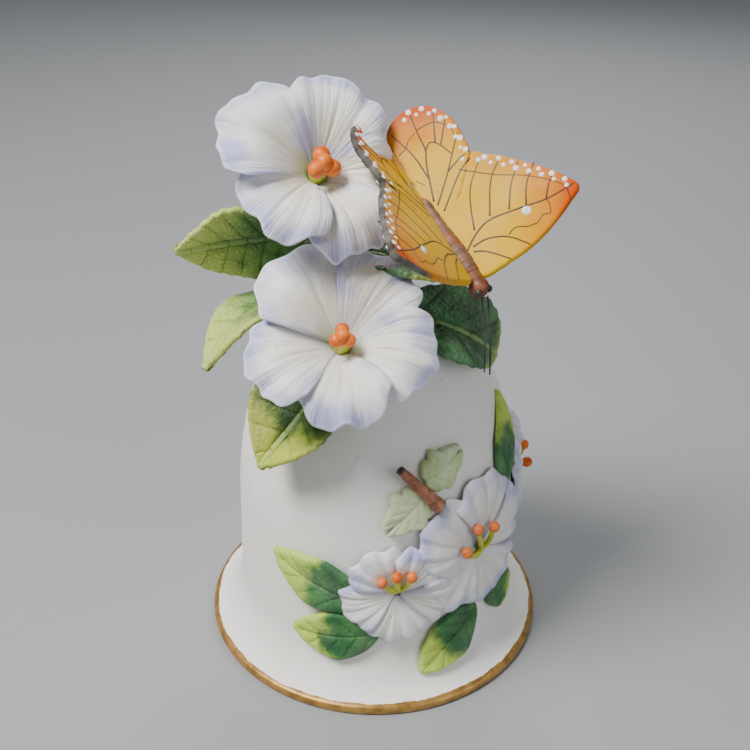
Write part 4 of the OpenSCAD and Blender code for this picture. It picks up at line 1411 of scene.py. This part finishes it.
# %% Relief leaves and relief butterfly
def wall_leaf(node, own, material, slot, pairs=5, stands_for=(), root_low=None, thick=1.0, scallop=0.0):
    """A leaf lying on the wall, from the outline that its node has on the wall."""
    wall = to_wall(own)
    flat = wall[:, :2]
    centre, axes = principal_axes(flat)
    ahead = axes[0]
    if root_low is not None and (np.asarray(root_low) - centre) @ ahead > 0:
        ahead = -ahead
    beside = np.array((-ahead[1], ahead[0]))
    along, across = (flat - centre) @ ahead, (flat - centre) @ beside
    low, high = along.min() - 0.3, along.max() + 0.3
    width = np.abs(across).max()
    s, t = np.meshgrid(even_steps(100, 0.0, 1.0), even_steps(60), indexing="ij")
    grow = np.sin(math.pi * np.clip(s, 0.003, 0.997) ** 0.85) ** 0.85
    if scallop:
        grow = (0.30 + 0.70 * np.sin(math.pi * np.clip(s, 0, 1) ** 0.9) ** 0.8) * (1 - 0.25 * s**3)
    grow = grow * (1 + scallop * (np.abs(np.sin(s * 9.5)) - 0.5) * np.abs(t) ** 3)
    half_width = width * grow * (1 + 0.03 * np.sin(s * 16))
    mid, rib = vein_field(s, t, pairs, 0.9)
    top = wall[:, 2].max() * thick
    proud = top * (0.62 + 0.38 * np.sin(math.pi * s)) * (0.80 + 0.2 * np.abs(t)) - 0.40
    puff = np.abs(np.sin(math.pi * (s - 0.2 * np.abs(t) ** 0.8) * pairs)) * np.clip(np.abs(t) * 3, 0, 1)
    proud = proud - 0.36 * mid - 0.16 * rib + 0.18 * puff * np.clip((1 - np.abs(t)) * 3, 0, 1)
    run = low + (high - low) * s
    if scallop:
        run = low + (high - low) * s * (0.74 + 0.26 * np.exp(-(((np.abs(t) - 0.6) / 0.28) ** 2)))
    to_side = (1 - np.abs(t)) * half_width
    to_end = np.minimum(s, 1 - s) * (high - low)
    proud = proud - 0.7 * (1 - np.clip(to_side / 0.9, 0, 1)) ** 2
    off = t * half_width
    place = centre + run[..., None] * ahead + off[..., None] * beside
    half = np.minimum(rounded(to_side, 0.6), rounded(to_end, 0.6))
    half[:, 0] = half[:, -1] = half[0] = half[-1] = 0
    # The vein mask marks the pressed midrib and side veins, which the leaf paint darkens as painted shade.
    masks = {"tip": np.clip(s + 0.12 * np.abs(t) ** 3, 0, 1.2), "vein": np.maximum(mid * 0.9, rib * 0.8)}
    uv = np.stack([t * half_width, s * (high - low)], axis=2)
    made = sheet_mesh(node, from_wall(place[..., 0], place[..., 1], proud), half, uv, masks)
    return fit_out(made, "bell", slot, material, *stands_for)


middle_left = to_wall(corners("relief_flower_left")).mean(axis=0)[:2]
middle_right = to_wall(corners("relief_flower_right")).mean(axis=0)[:2]
for name, root in (("upper_left", middle_left), ("lower_left", middle_left), ("front", middle_right),
                   ("low_right", middle_right), ("high_right", middle_right)):
    node = "relief_leaf_" + name
    wall_leaf("pressed_leaf_" + name, corners(node), relief_leaf_finish, "relief_leaf_paint", 5, (node,),
              root)

lobes = separate_solids("relief_butterfly_wings")
spindle = to_wall(corners("relief_butterfly_body"))
joint = spindle[:, :2].mean(axis=0)
pads = [wall_leaf(f"pad_{k}", lobe, pale_green, "pale_green_paint", 4, (), joint, 1.15, 0.35)
        for k, lobe in enumerate(lobes)]
pads = merged("pressed_butterfly_wings", pads)
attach(pads, "bell")
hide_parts("relief_butterfly_wings")

rod_points = corners("relief_butterfly_body")
centre, axes = principal_axes(rod_points)
rod_way = axes[0] if axes[0][2] < 0 else -axes[0]
reach = (rod_points - centre) @ rod_way
slim = np.linalg.norm(rod_points - centre - reach[:, None] * rod_way, axis=1)
thin, thick = slim[reach < reach.min() + 1.5].max(), slim[reach > reach.max() - 1.5].max()
share = np.linspace(0, 1, 130)
grooved = 1 - 0.07 * np.abs(np.sin(share * 17)) ** 8
taper = (thin + (thick - thin) * share) * grooved
taper[:3] *= (0.6, 0.85, 0.96)
taper[-3:] *= (0.97, 0.9, 0.75)
ends = np.clip(np.maximum(0.12 - share, share - 0.95) / 0.10, 0, 1)[:, None] * np.ones(44)
rod_paint, tree, shader = new_material("rod_paint", 0.45, Specular_IOR_Level=0.4)
grain = noise(tree, solid_place(tree), 520.0, 3.0)
wood = mix(tree, fade(tree, grain, 0.35, 0.65), colour("A66B4A"), colour("7A452C"))
wood = mix(tree, fade(tree, mask(tree, "dark_end"), 0.2, 0.9), wood, colour("3A2218"))
finish_clay(tree, shader, wood, 0.6, specks=0.3)
rod_piece = turned("pressed_butterfly_body", centre, rod_way,
                   reach.min() + (reach.max() - reach.min()) * share, taper, 44, masks={"dark_end": ends})
rod_piece.data.materials.append(rod_paint)
tips = []
for k in (-1, 1):
    side = unit(np.cross(rod_way, unit(np.array((centre[0], centre[1], 0.0)))))
    at = centre + rod_way * (reach.max() - 0.25) + side * k * thick * 0.72
    dot = ball(f"rod_eye_{k}", at, 0.42, 24)
    dot.data.materials.append(ink)
    tips.append(dot)
rod_piece = merged("pressed_butterfly_body", [rod_piece, *tips])
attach(rod_piece, "bell")
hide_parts("relief_butterfly_body")
print("relief:", made("pressed_leaf"), "leaves,", len(lobes), "wing pads,",
      made("pressed_butterfly_body"), "body")
